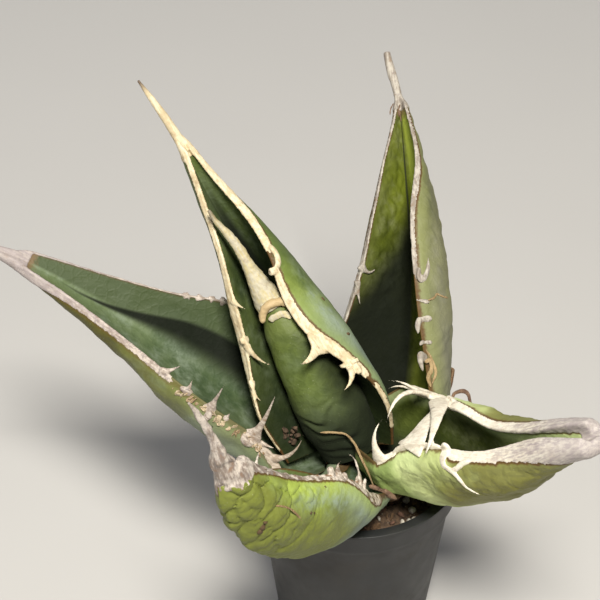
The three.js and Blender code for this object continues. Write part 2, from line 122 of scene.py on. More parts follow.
LEAVES = {
    "tall": {
        "base": (5.6, 202, 63.8),
        "length": 86,
        "lift": [63, 49, 56, 66],
        "turn": [118, 136, 153, 152],
        "roll": [-20, -34, -3],
        "half": [16, 24, 22.5, 19.5, 9, 1.6],
        "fold": [24, 31, 38, 44, 47, 44, 47],
        "curl_left": [7, 9, 11, 11, 0, 0, 0],
        "curl_right": [33, 55, 84, 90, 83, 76, 80],
        "skew": [-0.1, -0.16, -0.1],
        "thickness": [2.9, 4.8, 7.3, 6.5, 3.9, 2.8, 1.6],
        "edge_left": [0.2, -0.2, -0.7, -1.1, -1.6, -1.4, 0.1, 0.6, 0.7],
        "edge_right": [-0.2, -1, -2.5, -3, -5, -3.1, -2.2, -1.8, -0.7],
        "rim_left": [0.5, 0.5, 0.6, 0.5, 0.4],
        "rim_right": [0.6, 0.6, 0.6, 0.6, 0.4],
        "band_left": {
            "upper": [0.2, 0.2],
            "lower": [0.2, 0.2, 0.2, 0.2, 0.3, 0.5, 0.9, 1.2, 1.8, 1.8, 1, 0.7, 0.7, 0.7, 0.7, 0.6, 0.4],
        },
        "band_right": {
            "upper": [0.2, 0.2],
            "lower": [0.1, 0.1, 0.1, 0.4, 1.3, 1.5, 1, 0.8, 0.7, 0.5, 0.4, 0.9, 1.2, 1.3, 1, 0.7, 0.3],
        },
        "horn_left": [(0.04, 1)],
        "horn_right": [(0.04, 0.185), (0.2, 0.6), (0.645, 1)],
        "sheath": 0.965,
        "spine": {
            "length": 19.5, "lift": [61, 55, 53], "turn": [154, 158, 159],
            "radius": [1.35, 1.15, 1, 0.72, 0.3], "groove": 0.1,
        },
        "teeth_left": [
            Tooth(0.565, (0.6, -2.6, 2), 1.3),
            Tooth(0.44, (-2.5, -9.3, 1.4), 2.5, (1.6, -4.3, -0.2), flare=1.2),
            Tooth(0.302, (-0.1, -5.5, 0.3), 1.2, (1.4, -2.8, -0.2)),
            Tooth(0.273, (1.9, -5, -0.1), 1),
        ],
        "teeth_right": [
            Tooth(0.595, (1.7, 0.9, 0.6), 2, blunt=0.9, flare=1.1),
            Tooth(0.333, (8, -1.4, 2.5), 3.9, (4.1, -2.5, 1.2), flare=2.1),
            Tooth(0.247, (4.9, -4.5, 3.3), 2.9, (0.8, -4, 0), flare=1.7),
            Tooth(0.225, (0.6, -1, -0.2), 2.2, blunt=0.6),
            Tooth(0.21, (0.3, -1.7, -0.3), 1),
        ],
        "straps_right": [
            Strap(
                [(0.665, 0.3), (0.65, 0.5), (0.632, 0.7), (0.614, 0.5), (0.6, 0), (0.588, -0.6)],
                [1.6, 2, 1.8, 1.8, 2.1, 2.6], 1.3),
        ],
    },
    "back": {
        "base": (11.3, 26, 58.7),
        "length": 87,
        "lift": [58, 56, 42, 36],
        "turn": [68, 85, 94, 95],
        "roll": [1, -11, -1],
        "half": [16.5, 21, 20, 15.5, 10, 2.6],
        "fold": [21, 32, 39, 46, 50, 51, 61],
        "curl_left": [0, 0, 2, 5, 2, 1, 0],
        "curl_right": [46, 57, 68, 70, 69, 48, 26],
        "skew": [0, -0.08, -0.1],
        "thickness": [6.8, 6.5, 7, 6.8, 5.4, 2.8, 1.6],
        "edge_left": [0.1, 0.2, 0.3, -0.3, -0.3, 0.2, -0.1, -0.3, -0.6],
        "edge_right": [0, 0, -0.2, 0.4, 0.5, 0.5, 0.3, -0.1, 0],
        "rim_left": [0.5, 0.4, 0.4, 0.3, 0.3],
        "rim_right": [0.6, 0.5, 0.4, 0.3, 0.3],
        "band_left": {
            "upper": [0.2, 0.2, 0.2, 0.3, 0.3, 0.15, 0.15, 0.15, 0.15],
            "lower": [0.2, 0.2, 0.3, 0.6, 0.6, 0.2, 0.2, 0.2, 0.2],
        },
        "band_right": {
            "upper": [0.15, 0.15],
            "lower": [0.2, 0.2, 0.2, 0.2, 0.2, 0.2, 0.6, 0.3, 0.2],
        },
        "horn_left": [(0.06, 1)],
        "horn_right": [(0.475, 1)],
        "sheath": 0.985,
        "spine": {
            "length": 16, "lift": [34, 30, 37], "turn": [95, 107, 101],
            "radius": [1.25, 1.1, 1.1, 1.2, 1.1, 0.9], "groove": 0.15,
        },
        "teeth_left": [
            Tooth(0.508, (-4.3, 0.2, 0.8), 1.6, (-2.2, -2.4, 0.4)),
            Tooth(0.463, (-1, -5.9, 0.2), 1.4, (-0.3, -3.6, 0.1)),
        ],
        "straps_right": [
            Strap([(0.505, 0.3), (0.48, 0.2), (0.478, 0.8), (0.498, 1.6), (0.53, 2)], [1.3, 2, 2, 1.4, 0.3]),
            Strap([(0.428, -0.3), (0.424, 0.6), (0.422, 1.3)], [0.6, 1.2, 1]),
            Strap([(0.385, 1.4), (0.38, 0.2), (0.367, -1.3), (0.345, -1.9)], [1.5, 2, 1.7, 0.6], 1.3),
            Strap([(0.325, 0.8), (0.323, -0.4), (0.318, -2)], [1.2, 1.2, 0.4]),
            Strap(
                [(0.275, 0.4), (0.287, -1.2), (0.293, -2.9), (0.277, -3.5), (0.25, -3.1)],
                [2.2, 2.2, 1.9, 1.4, 0.6], 1.4),
        ],
    },
    "left": {
        "base": (13.3, 195.5, 59.4),
        "length": 88,
        "lift": [42, 36, 35, 34],
        "turn": [148, 167, 170, 176],
        "roll": [-20, -23, -23],
        "half": [17, 20, 21, 13.5, 7.3, 2.6],
        "fold": [18, 20, 18, 19, 21, 19, 14],
        "curl_left": [62, 69, 66, 61, 54, 49, 42],
        "curl_right": [26, 21, 16, 11, 7, 3, 0],
        "skew": [0.05, 0.1, 0.15],
        "thickness": [6.8, 7.6, 7.6, 6.8, 5.1, 4.2, 2.7],
        "edge_left": [0, 0.3, 0.7, -0.3, 0, -0.1, -0.6, -1, -0.7],
        "edge_right": [0, 0, -0.1, -0.2, 0, 0, 0.2, 0.4, 0.5],
        "rim_left": [0.9, 0.7, 0.55, 0.5, 0.7],
        "rim_right": [0.6, 0.5, 0.4, 0.4, 0.6],
        "band_left": {
            "upper": [0.2, 0.2, 0.2, 0.2, 0.2, 0.2, 0.2, 0.2, 0.3],
            "lower": [0.4, 0.4, 0.4, 0.4, 0.35, 0.3, 0.3, 0.45, 1.8],
        },
        "band_right": {
            "upper": [0.2, 0.2, 0.2, 0.3, 0.3, 0.2, 0.2, 0.2, 0.4],
            "lower": [0.2, 0.2, 0.2, 0.3, 0.3, 0.2, 0.2, 0.3, 0.6],
        },
        "horn_left": [(0.06, 0.25), (0.36, 0.4), (0.445, 0.47), (0.5, 1)],
        "horn_right": [(0.2, 1)],
        "sheath": 0.985,
        "spine": {
            "length": 12, "lift": [30, 30, 34], "turn": [178, 179, 176],
            "radius": [2.5, 1.9, 1.2, 0.4], "groove": 0.5,
        },
        "teeth_left": [
            Tooth(0.535, (3.6, -2.2, 2.9), 1.7, (1.4, -1.5, 1)),
            Tooth(0.458, (2.6, 0.8, 2.1), 2, (0.9, 0, 0.6), flare=1.9),
            Tooth(0.378, (6.8, 1.6, 4.7), 1.9, (2.6, 0.6, 1.7), flare=1.6),
            Tooth(0.323, (1.9, 0.2, 1.2), 1.2),
            Tooth(0.22, (12.3, 4.1, 7.3), 2.8, (4, 0.1, 2.2), flare=1.8),
            Tooth(0.18, (2, -3.7, 0.6), 1.2),
            Tooth(0.115, (9.9, 0.5, 6.8), 1.7, (4.3, -3.6, 2.4)),
        ],
        "teeth_right": [
            Tooth(0.562, (0.6, 1.1, 0), 1),
            Tooth(0.557, (-1.1, -1.8, 0.1), 0.9),
            Tooth(0.525, (0.6, 0.7, 0), 1.5, blunt=0.5),
            Tooth(0.492, (-1, -0.4, 0.3), 1.2, blunt=0.3),
            Tooth(0.46, (0.6, -1.9, 0.1), 1.7, blunt=0.3),
        ],
        "straps_left": [
            Strap([(0.39, -0.2), (0.375, 0.4), (0.37, 1.4)], [1.6, 2.4, 1.2], 1.6),
            Strap([(0.25, 0.1), (0.225, 0.7), (0.2, 0.4)], [1.6, 2.6, 1.6], 1.6),
        ],
    },
    "right": {
        "base": (16.4, 323, 63.4),
        "length": 70,
        "lift": [17, 37, 57, 31],
        "turn": [-25, -52, -49, -34],
        "roll": [8, 23, 45],
        "half": [22.5, 20, 18, 11.3, 6, 3.6],
        "fold": [36, 37, 40, 41, 39, 41, 32],
        "curl_left": [48, 58, 68, 61, 55, 42, 24],
        "curl_right": [34, 46, 47, 55, 60, 80, 91],
        "skew": [0.1, -0.1, -0.15],
        "thickness": [6.1, 7.8, 7.6, 7, 6.9, 5.4, 3.5],
        "edge_left": [-2.9, -1.8, -0.6, 1, 1.1, 0.4, -0.3, 0, 0.7],
        "edge_right": [0.1, 0.8, 1, 0.6, 0.8, 0.6, -0.2, 0.3, -0.1],
        "rim_left": [0.7, 0.7, 0.7, 0.7, 0.9],
        "rim_right": [0.7, 0.7, 0.7, 0.6, 0.9],
        "band_left": {
            "upper": [0.4, 0.7, 1.1, 1.1, 1, 1, 1.1, 1.9, 3],
            "lower": [0.5, 0.6, 0.9, 0.5, 0.4, 0.4, 0.5, 0.9, 1.5],
        },
        "band_right": {
            "upper": [0.2, 0.2, 0.2, 0.2, 0.2, 0.2, 0.2, 0.2, 0.3],
            "lower": [0.3, 0.3, 0.3, 0.3, 0.3, 0.3, 0.3, 0.4, 0.9, 0.8, 0.7, 1, 1.5, 2.2, 3.2, 4.8, 6.6],
        },
        "horn_left": [(0.02, 1)],
        "horn_right": [(0.02, 0.19), (0.515, 1)],
        "sheath": 0.95,
        "spine": {
            "length": 8.5, "lift": [38, 48, 48], "turn": [-34, -34],
            "radius": [3, 2.1, 1.2, 0.4], "groove": 0.45,
        },
        "teeth_left": [
            Tooth(0.072, (3.6, -7.5, 0.7), 1, (4.1, -4, -0.1)),
            Tooth(0.052, (0.2, -7.9, 1.4), 1.2, (2.5, -4.2, 0.2)),
            Tooth(0.113, (4.7, -1.5, 14.3), 2.8, (13.6, 2.7, 8.3), blunt=0.1, flare=1.3),
            Tooth(0.198, (5.6, 13.1, 20.4), 4.6, (10.7, 17, 13.5), flare=1.2, taper=1.2),
        ],
        "teeth_right": [
            Tooth(0.052, (7.5, 2, 7.1), 2.4, (7, -0.9, 2.4), flare=1.9),
            Tooth(0.3, (0.9, -1.3, 11.5), 11.5, (1.2, 1.2, 4), blunt=0.15, flare=1),
            Tooth(0.44, (2.6, 2.6, 1.4), 1.2),
        ],
        "straps_left": [
            Strap([(0.22, 0.5), (0.26, 0.7), (0.3, 0.3)], [2, 2.6, 1.4]),
        ],
        "straps_right": [
            Strap(
                [(0.16, -0.3), (0.24, -0.5), (0.36, -0.5), (0.445, -0.4), (0.49, -0.3)],
                [1, 2, 2.2, 2.2, 2]),
            Strap([(0.535, -2.2), (0.51, -0.5), (0.5, 1.4), (0.502, 2.6)], [2.2, 2.8, 2.4, 2]),
            Strap(
                [(0.5, 2.4), (0.525, 2.6), (0.55, 1.9), (0.58, 0.9), (0.61, 0.5)],
                [1.4, 1.5, 1.4, 1.6, 1.4]),
            Strap(
                [(0.502, 2.1), (0.52, 2.7), (0.53, 3.8), (0.527, 6.3), (0.525, 9.6)],
                [1.9, 1.6, 1.2, 0.9, 0.3]),
        ],
    },
    "front": {
        "base": (14.5, 261.5, 62.2),
        "length": 80,
        "lift": [7, 30, 54, 86],
        "turn": [250, 245, 225, 201],
        "roll": [-24, 13, 28],
        "half": [11.5, 13.5, 17, 13.7, 9.6, 3.5],
        "fold": [29, 39, 44, 48, 53, 59, 70],
        "curl_left": [10, 18, 30, 37, 40, 45, 56],
        "curl_right": [58, 50, 32, 18, 11, 7, 6],
        "skew": [0, 0],
        "thickness": [6.6, 6.7, 6.5, 5.3, 5.3, 4.8, 2.9],
        "edge_left": [0.1, -0.1, 0.2, 0.5, 1.7, 2.1, 2.1, 1.9, 1.1],
        "edge_right": [-7.4, -5.2, -2.1, -0.8, 0.4, 0.3, -0.2, -0.4, -0.3],
        "rim_left": [0.5, 0.5, 0.5, 0.6, 1],
        "rim_right": [0.5, 0.5, 0.5, 0.6, 1],
        "band_left": {
            "upper": [0.2, 0.2, 0.2, 0.2, 0.2, 0.2, 0.2, 0.3, 1],
            "lower": [0.3, 0.4, 0.7, 1.1, 1.2, 0.9, 0.8, 0.7, 0.7, 0.7, 0.7, 0.7, 0.8, 0.9, 1.2, 2.2, 5.5],
        },
        "band_right": {
            "upper": [0.2, 0.2, 0.2, 0.2, 0.2, 0.2, 0.2, 0.3, 1],
            "lower": [0.3, 0.3, 0.3, 0.3, 0.3, 0.3, 0.3, 0.3, 0.3, 0.3, 0.3, 0.5, 0.8, 1.6, 3, 5, 7],
        },
        "horn_left": [(0.13, 1)],
        "horn_right": [(0.8, 1)],
        "sheath": 0.95,
        "bark": 4,
        "spine": {
            "length": 23, "lift": [90, 72, 63], "turn": [201, 199, 194],
            "radius": [3.9, 2.5, 1.5, 1.1, 0.9, 0.7, 0.3], "groove": 0.3,
        },
        "teeth_left": [
            Tooth(0.485, (2.1, 1.1, 0.7), 2.3, blunt=0.7, flare=1.2),
            Tooth(0.448, (3.5, 0.1, 0.4), 1.7, (2.7, 1.4, 1.1)),
            Tooth(0.413, (1.3, 0.2, 0.3), 1.6, blunt=0.6),
            Tooth(0.335, (2.6, 0, 0.9), 1.2),
            Tooth(0.28, (2.4, -0.6, 1.2), 1.5, blunt=0.3),
            Tooth(0.302, (5.5, 2.3, 6.6), 1.2, (6.9, 0.3, 4.7)),
            Tooth(0.912, (2.6, 1.5, -0.4), 1.1),
        ],
    },
}

SPINDLE = {
    "foot": (-1.7, -6.1, 67),
    "length": 44,
    "lift": [64, 58, 50],
    "turn": [155, 147, 149],
    "radius": [8, 9, 8.8, 7.6, 6.2, 3],
    "cap_from": 0.962,
    "spine": {
        "length": 27, "lift": [55, 56, 55, 45, 54], "turn": [149, 149, 145, 158, 148],
        "radius": [3.8, 3, 2.2, 1.6, 1.35, 1.15, 0.95, 0.7, 0.4],
    },
    "straps": [
        {
            "path": [
                (0.93, -3), (0.966, 2), (0.996, 24), (0.998, 52), (0.978, 78), (0.942, 96), (0.898, 98),
                (0.854, 90), (0.81, 84)],
            "width": 2, "thick": 1.9, "rise": 1.1, "share": 0,
        },
        {
            "path": [(0.915, 14), (0.928, 26), (0.926, 42), (0.923, 56), (0.905, 68), (0.875, 74)],
            "width": 1.8, "thick": 0.8, "rise": 0.1, "share": 1,
        },
    ],
}

DRY_LEAVES = {
    "dry_leaf_right": {
        "base": (12, 38, 56.6), "length": 26, "lift": [4, 12, 30, 70], "turn": [40, 42, 46, 52],
        "roll": [0, 10], "half": [5, 6, 5.5, 4, 1.2], "fold": [12, 20],
        "curl_left": [20, 60], "curl_right": [20, 70], "skew": [0, 0], "thickness": [1.6, 1.2, 0.8],
    },
    "dry_leaf_front": {
        "base": (11, 300, 55.8), "length": 12, "lift": [5, 30, 60], "turn": [300, 296, 290],
        "roll": [0, -15], "half": [5, 5, 3, 1], "fold": [12, 25],
        "curl_left": [20, 60], "curl_right": [20, 50], "skew": [0, 0], "thickness": [1.6, 1.2, 0.8],
    },
}
DRY_RIM = [0.7, 0.5]

# What clings to the plant. A spot is a place and a size.
STRAND_FACING = (0.3, -0.7, 0.6)
STRAWS = [
    Strand(0.65, [
        (-9.4, -13, 78), (-6.2, -13.4, 78.4), (-3.1, -13.8, 78.1), (-1, -14.6, 75.8), (0.4, -16.4, 73.5),
        (2.2, -20.6, 72), (4.2, -20.6, 65.5)]),
    Strand(0.5, [
        (-19.9, -57.8, 99.6), (-18.4, -57.4, 99.1), (-16.5, -56.2, 97), (-14.8, -55.4, 94.1),
        (-13.3, -53.7, 88.9)]),
    Strand(0.6, [
        (22.5, 14.1, 98.1), (20.6, 12, 100.5), (19.4, 11.6, 101.4), (18.6, 10.2, 101.4), (17, 8.4, 102.1)]),
    Strand(1.2, [
        (16.2, -0.9, 90.2), (17.6, -0.5, 90.4), (17.9, -1.6, 88.3), (17.2, -2.2, 86.5), (17.9, -3.3, 84.1)]),
    Strand(0.8, [(16.4, 2, 92.6), (17.7, 0.6, 90.6), (18.7, -0.7, 88.7), (19, -1.7, 87), (18.2, -2.9, 84.9)]),
]
SCRAPS = [
    Strand(1.1, [
        (22.6, 4, 75.2), (23.9, 3.9, 73.7), (24.9, 4.6, 74.7), (26.7, 4.9, 75.1), (28.2, 4.4, 74.4),
        (29.1, 1.5, 71.8)]),
    Strand(1.3, [(2.5, -20.9, 67.6), (4.6, -21.6, 67.4), (6.4, -23.2, 68), (8, -22.8, 66.2), (9.5, -22, 64)]),
    Strand(1, [(5, -21, 65), (7, -23, 66.4), (8.6, -22, 64.6), (9.2, -20, 62)]),
    Strand(0.4, [(11.1, 59.7, 124.1), (11.6, 58.5, 122.6), (11.9, 57.6, 121)]),
    Strand(0.35, [(12.2, 60.8, 124.5), (13.2, 59.6, 123), (13.6, 58.6, 121.6)]),
    Strand(0.35, [(10, 61.9, 124), (9.3, 61.5, 122.6), (9.1, 60.6, 121.2)]),
    Strand(0.4, [(11.6, 60.5, 124.6), (11.2, 59.2, 123.4), (11.3, 57.9, 122.4)]),
]
SPOTS = [
    ((-22.5, -60, 95.7), 1.2), ((-23.2, -60.2, 94.4), 1.1), ((-21.9, -59.9, 96.9), 0.7),
    ((-8.7, -44.3, 91.5), 0.5), ((-12.1, -51.9, 91.1), 0.5), ((-11.3, -50.7, 89.8), 0.5),
    ((-2.9, -0.4, 98.7), 0.8), ((-8.9, 6.6, 103.9), 0.7),
]
MARGIN_FLAKES = {
    "leaf": "left", "from": 0.14, "to": 0.5, "number": 60, "inset": 0.7, "lift": (-0.2, 0.15),
    "size": (0.35, 1.1), "flat": 0.25,
}
AXIL_GRAINS = {
    "middle": (-17.2, -7, 71.6), "spread": (2.4, 0.9, 3), "number": 20, "size": (0.4, 1.1), "flat": 0.8,
    "colours": ((0.03, 0.018, 0.01), (0.12, 0.075, 0.045)),
}
SPOT_FLATNESS = 0.8

# Colours of dead tissue: dark, pale, and the threads over them.
TISSUES = {
    "old_leaf": ((0.11, 0.055, 0.025), (0.3, 0.19, 0.1), (0.42, 0.31, 0.18)),
    "straw": ((0.22, 0.14, 0.06), (0.42, 0.3, 0.15), (0.56, 0.45, 0.28)),
    "scrap": ((0.08, 0.04, 0.025), (0.22, 0.13, 0.08), (0.34, 0.23, 0.15)),
    "scar": ((0.03, 0.02, 0.01), (0.1, 0.06, 0.025), (0.14, 0.09, 0.04)),
    "flake": ((0.28, 0.18, 0.09), (0.52, 0.42, 0.28), (0.66, 0.58, 0.45)),
}

POT = {
    "height": 56, "foot_radius": 20, "rim_radius": 27.5, "wall": 1.2, "floor": 2, "lip_height": 7,
    "lip_out": 1.3, "bead": 1.1, "bead_slope": 0.3, "bead_out": 0.25, "edge": 0.1, "round_off": 0.2,
    "foot_groove": [(17.4, 0), (17.8, 0.5), (19, 0.5), (19.4, 0)],
    "holes": 4, "hole_radius": 2.5, "hole_reach": 13,
}
SOIL = {"edge": 50.5, "heap": 53.5, "gap": 0.3, "shoulder": 4}
STEM = {"foot": 46, "radius": 9, "neck": 6.5, "shoulder": 60, "top": 66, "scar": 0.5}
TOP_DRESSING = {
    "pumice_grit": {
        "colours": ((0.62, 0.58, 0.5), (0.4, 0.36, 0.3)), "number": 90, "size": (0.6, 1.5), "flat": 0.8,
    },
    "lava_grit": {
        "colours": ((0.09, 0.05, 0.035), (0.16, 0.08, 0.05)), "number": 90, "size": (0.5, 1.3), "flat": 0.8,
    },
    "bark_crumbs": {
        "colours": ((0.16, 0.09, 0.045), (0.07, 0.04, 0.02)), "number": 80, "size": (0.8, 2.1), "flat": 0.4,
    },
}

# Colours that all leaves share, then all horn, and then each leaf's own, as leaf_skin and horn_skin say.
# In LEAF_TINTS, base and fold are painted shade: toward the inner face's base, and in creases and cast
# shadows
LEAF_TINTS = {
    "base": (0.006, 0.01, 0.004), "fold": (0.003, 0.005, 0.002), "withered": (0.19, 0.12, 0.065),
    "speck": (0.4, 0.42, 0.3), "scar": (0.025, 0.03, 0.012), "line": (0.1, 0.045, 0.015),
}
HORN_TINTS = {
    "speckle": (0.2, 0.17, 0.17), "stain": (0.22, 0.12, 0.055), "streak": (0.32, 0.26, 0.27),
    "grey_end": (0.36, 0.32, 0.32), "base": (0.5, 0.36, 0.18), "point": (0.06, 0.03, 0.02),
}
LEAF_SKINS = {
    "tall": dict(
        upper={"deep": (0.035, 0.055, 0.018), "light": (0.09, 0.12, 0.035)},
        lower={"deep": (0.08, 0.12, 0.03), "light": (0.27, 0.34, 0.08), "young": (0.2, 0.26, 0.055),
               "old": (0.085, 0.12, 0.035), "root": (0.16, 0.22, 0.13)},
        bloom=((0.27, 0.33, 0.29), 0.8), shade=0.8, aged=(0.5, 0.68)),
    "back": dict(
        upper={"deep": (0.055, 0.07, 0.007), "light": (0.125, 0.15, 0.014)},
        lower={"deep": (0.13, 0.135, 0.075), "light": (0.24, 0.245, 0.13), "young": (0.2, 0.22, 0.07),
               "old": (0.2, 0.2, 0.08), "root": (0.2, 0.21, 0.12)},
        # The back leaf's wing colour is a painted lit strip on the inner face of its right wing
        bloom=((0.22, 0.22, 0.16), 0.7), shade=0.6, wing=((0.34, 0.4, 0.06), 0.9)),
    "left": dict(
        upper={"deep": (0.05, 0.08, 0.035), "light": (0.12, 0.16, 0.075)},
        lower={"deep": (0.09, 0.095, 0.022), "light": (0.18, 0.19, 0.05), "young": (0.15, 0.17, 0.05),
               "old": (0.09, 0.08, 0.013), "root": (0.16, 0.2, 0.11)},
        # The left leaf's wing colour is painted shade over its far wing
        bloom=((0.24, 0.29, 0.23), 0.65), shade=0.15, wing=((0.05, 0.07, 0.028), 0.85),
        aged=(0.5, 0.75), rim=0.4),
    "right": dict(
        upper={"deep": (0.05, 0.07, 0.012), "light": (0.11, 0.14, 0.025)},
        lower={"deep": (0.26, 0.32, 0.07), "light": (0.64, 0.74, 0.32), "young": (0.7, 0.82, 0.4),
               "old": (0.135, 0.12, 0.018), "root": (0.12, 0.2, 0.02)},
        bloom=((0.6, 0.64, 0.4), 0.3), shade=0.3, aged=(0.33, 0.6), lip=1.0),
    "front": dict(
        upper={"deep": (0.05, 0.08, 0.03), "light": (0.12, 0.16, 0.07)},
        lower={"deep": (0.14, 0.18, 0.032), "light": (0.31, 0.4, 0.075), "young": (0.42, 0.53, 0.1),
               "old": (0.15, 0.165, 0.03), "root": (0.2, 0.25, 0.19)},
        bloom=((0.25, 0.31, 0.29), 0.92), shade=0.4),
    "spindle": dict(
        upper={"deep": (0.04, 0.06, 0.02), "light": (0.1, 0.13, 0.04)},
        lower={"deep": (0.035, 0.055, 0.014), "light": (0.12, 0.16, 0.035), "young": (0.2, 0.28, 0.08),
               "old": (0.12, 0.15, 0.035), "root": (0.03, 0.045, 0.015)},
        bloom=((0.12, 0.15, 0.1), 0.4), shade=0),
}
HORN_SKINS = {
    "tall": dict(lie=(150, 58), worn=(0.58, 0.47, 0.29), stain=0.35, speckle=0.1, points=0.9),
    "back": dict(
        lie=(95, 38), fresh=(0.48, 0.44, 0.38), worn=(0.28, 0.24, 0.2), stain=0.6, speckle=0.7, points=0.2),
    "left": dict(lie=(172, 35), worn=(0.3, 0.24, 0.2), stain=0.6, speckle=0.8, points=0.3, streaks=0.7),
    "right": dict(
        lie=(-42, 48), fresh=(0.85, 0.8, 0.68), worn=(0.72, 0.65, 0.54), stain=0.2, speckle=0.15, points=0.5,
        base=0.1, streaks=0.9),
    "front": dict(
        lie=(200, 78), fresh=(0.64, 0.57, 0.49), worn=(0.2, 0.15, 0.11), stain=0.9, speckle=0.7, points=0.5,
        streaks=0.2, strand=(7, 1)),
    "spindle": dict(
        lie=(148, 56), fresh=(0.5, 0.43, 0.24), worn=(0.5, 0.46, 0.35), stain=0.35, speckle=0.15, points=0.6,
        base=0.85),
}

# The stage. A light's share is that of the key light's power.
FLOOR_SIZE = 6000
FLOOR_GREYS = ((0.5, 0.49, 0.48), (0.53, 0.52, 0.51))
LIGHTS = {
    "key": {"place": (50, -450, 850), "size": 200, "share": 1, "colour": (1, 0.96, 0.87)},
    "fill": {"place": (-600, -450, 500), "size": 600, "share": 0.07, "colour": (0.95, 0.97, 1)},
    "rim": {"place": (-100, 600, 600), "size": 500, "share": 0.12, "colour": (1, 1, 1)},
}
LIGHTS_AIM = (0, 0, 100)
ROOM = {"Color": (0.9, 0.93, 1, 1), "Strength": 0.05}
CAMERA = {
    "place": (-14.29, -321.74, 379.25), "aim": (-14.29, 0, 109.28), "lens": 105.84, "sensor": 36, "near": 10,
}


def along(values, t):
    """The value at share t of a list of evenly spaced values, along a smooth curve through them."""
    last = len(values) - 1
    x = min(max(t, 0), 1) * last
    i = min(int(x), last - 1)
    u = x - i
    b, c = values[i], values[i + 1]
    a = values[i - 1] if i > 0 else 2 * b - c
    d = values[i + 2] if i + 2 <= last else 2 * c - b
    return b + 0.5 * u * (c - a + u * (2 * a - 5 * b + 4 * c - d + u * (3 * (b - c) + d - a)))


def smooth(low, high, x):
    """0 below low and 1 above high, smoothly; the other way round where low is the larger."""
    u = min(max((x - low) / (high - low), 0), 1)
    return u * u * (3 - 2 * u)


def wobble(x, y=0.0, z=0.0):
    """Smooth noise of about -0.5 to 0.5, with lumps of about 1."""
    return noise.noise(Vector((x, y, z)))


def waves(point, *layers):
    """Smooth noise summed over layers of (height, size), where a size is one number or one for each axis."""
    total = 0
    for height, size in layers:
        if isinstance(size, tuple):
            total += height * wobble(*(value / part for value, part in zip(point, size)))
        else:
            total += height * wobble(*(point / size))
    return total


def cells(x, y, z=0.0):
    """Distance to the border between rounded cells: 0 on a border, about 0.5 in a cell's middle."""
    distances = noise.voronoi(Vector((x, y, z)))[0]
    return distances[1] - distances[0]


def hand_of(share):
    """The hand that a share across a leaf lies on: 1 for the left, with the midrib, and -1 for the right."""
    return -1 if share < 0 else 1


class Course:
    """A line through space that knows its frame at each share of its length."""

    def __init__(self, start, length, lift, turn, roll=(0, 0)):
        self.lift = lift
        self.turn = turn
        self.roll = roll
        self.points = [Vector(start)]
        for i in range(COURSE_STEPS):
            step = self.heading((i + 0.5) / COURSE_STEPS) * (length / COURSE_STEPS)
            self.points.append(self.points[-1] + step)

    def heading(self, t):
        up = math.radians(along(self.lift, t))
        bearing = math.radians(along(self.turn, t))
        return Vector((math.cos(up) * math.cos(bearing), math.cos(up) * math.sin(bearing), math.sin(up)))

    def frame(self, t):
        x = t * COURSE_STEPS
        i = min(max(int(x), 0), COURSE_STEPS - 1)
        point = self.points[i].lerp(self.points[i + 1], x - i)
        tangent = self.heading(t)
        bearing = math.radians(along(self.turn, t))
        level = Vector((-math.sin(bearing), math.cos(bearing), 0))
        upright = tangent.cross(level)
        lean = math.radians(along(self.roll, t))
        side = level * math.cos(lean) + upright * math.sin(lean)
        normal = upright * math.cos(lean) - level * math.sin(lean)
        return point, tangent, side, normal


class Section:
    """One cross-section of a leaf. A share runs from -1 at the right margin to 1 at the left one."""

    def __init__(self, leaf, t, widen=1.0, shift=None):
        self.t = t
        self.point, self.tangent, self.side, self.normal = leaf.course.frame(t)
        if shift:
            self.point = self.point + shift
        self.fold = math.radians(along(leaf.spec["fold"], t))
        self.curl = {}
        self.half = {}
        for hand, name in HANDS.items():
            self.curl[hand] = max(math.radians(along(leaf.spec["curl_" + name], t)), LEAST_CURL)
            half = along(leaf.spec["half"], t) * (1 + hand * along(leaf.spec["skew"], t))
            self.half[hand] = half * widen + along(leaf.spec.get("edge_" + name, [0, 0]), t)
        self.thickness = along(leaf.spec["thickness"], t)
        self.rim = {
            hand: along(leaf.spec.get("rim_" + name, DRY_RIM), t) for hand, name in HANDS.items()}

    def upper(self, share):
        """A point of the upper face, with the ways out to the margin and up out of the face."""
        hand = hand_of(share)
        size = abs(share)
        curl = self.curl[hand]
        half = self.half[hand]
        angle = self.fold + curl * size
        across = half * (math.sin(angle) - math.sin(self.fold)) / curl
        soft = math.sqrt(size * size + CREASE_SOFTNESS ** 2) - CREASE_SOFTNESS
        rise = half * (math.cos(self.fold) - math.cos(self.fold + curl * soft)) / curl
        point = self.point + self.side * (hand * across) + self.normal * rise
        out = self.side * (hand * math.cos(angle)) + self.normal * math.sin(angle)
        up = self.side * (-hand * math.sin(angle)) + self.normal * math.cos(angle)
        return point, out, up

    def lower(self, share):
        """A point of the lower face, with the way down out of it."""
        point, _, up = self.upper(share)
        size = abs(share)
        rim = self.rim[hand_of(share)]
        depth = rim + (self.thickness - rim) * math.sqrt(max(1 - size * size, 0))
        middle = max(1 - size / KEEL_SHARE, 0)
        down = (up * (middle - 1) - self.normal * middle).normalized()
        return point + down * depth, down

    def rim_distance(self, share):
        return (1 - abs(share)) * self.half[hand_of(share)]


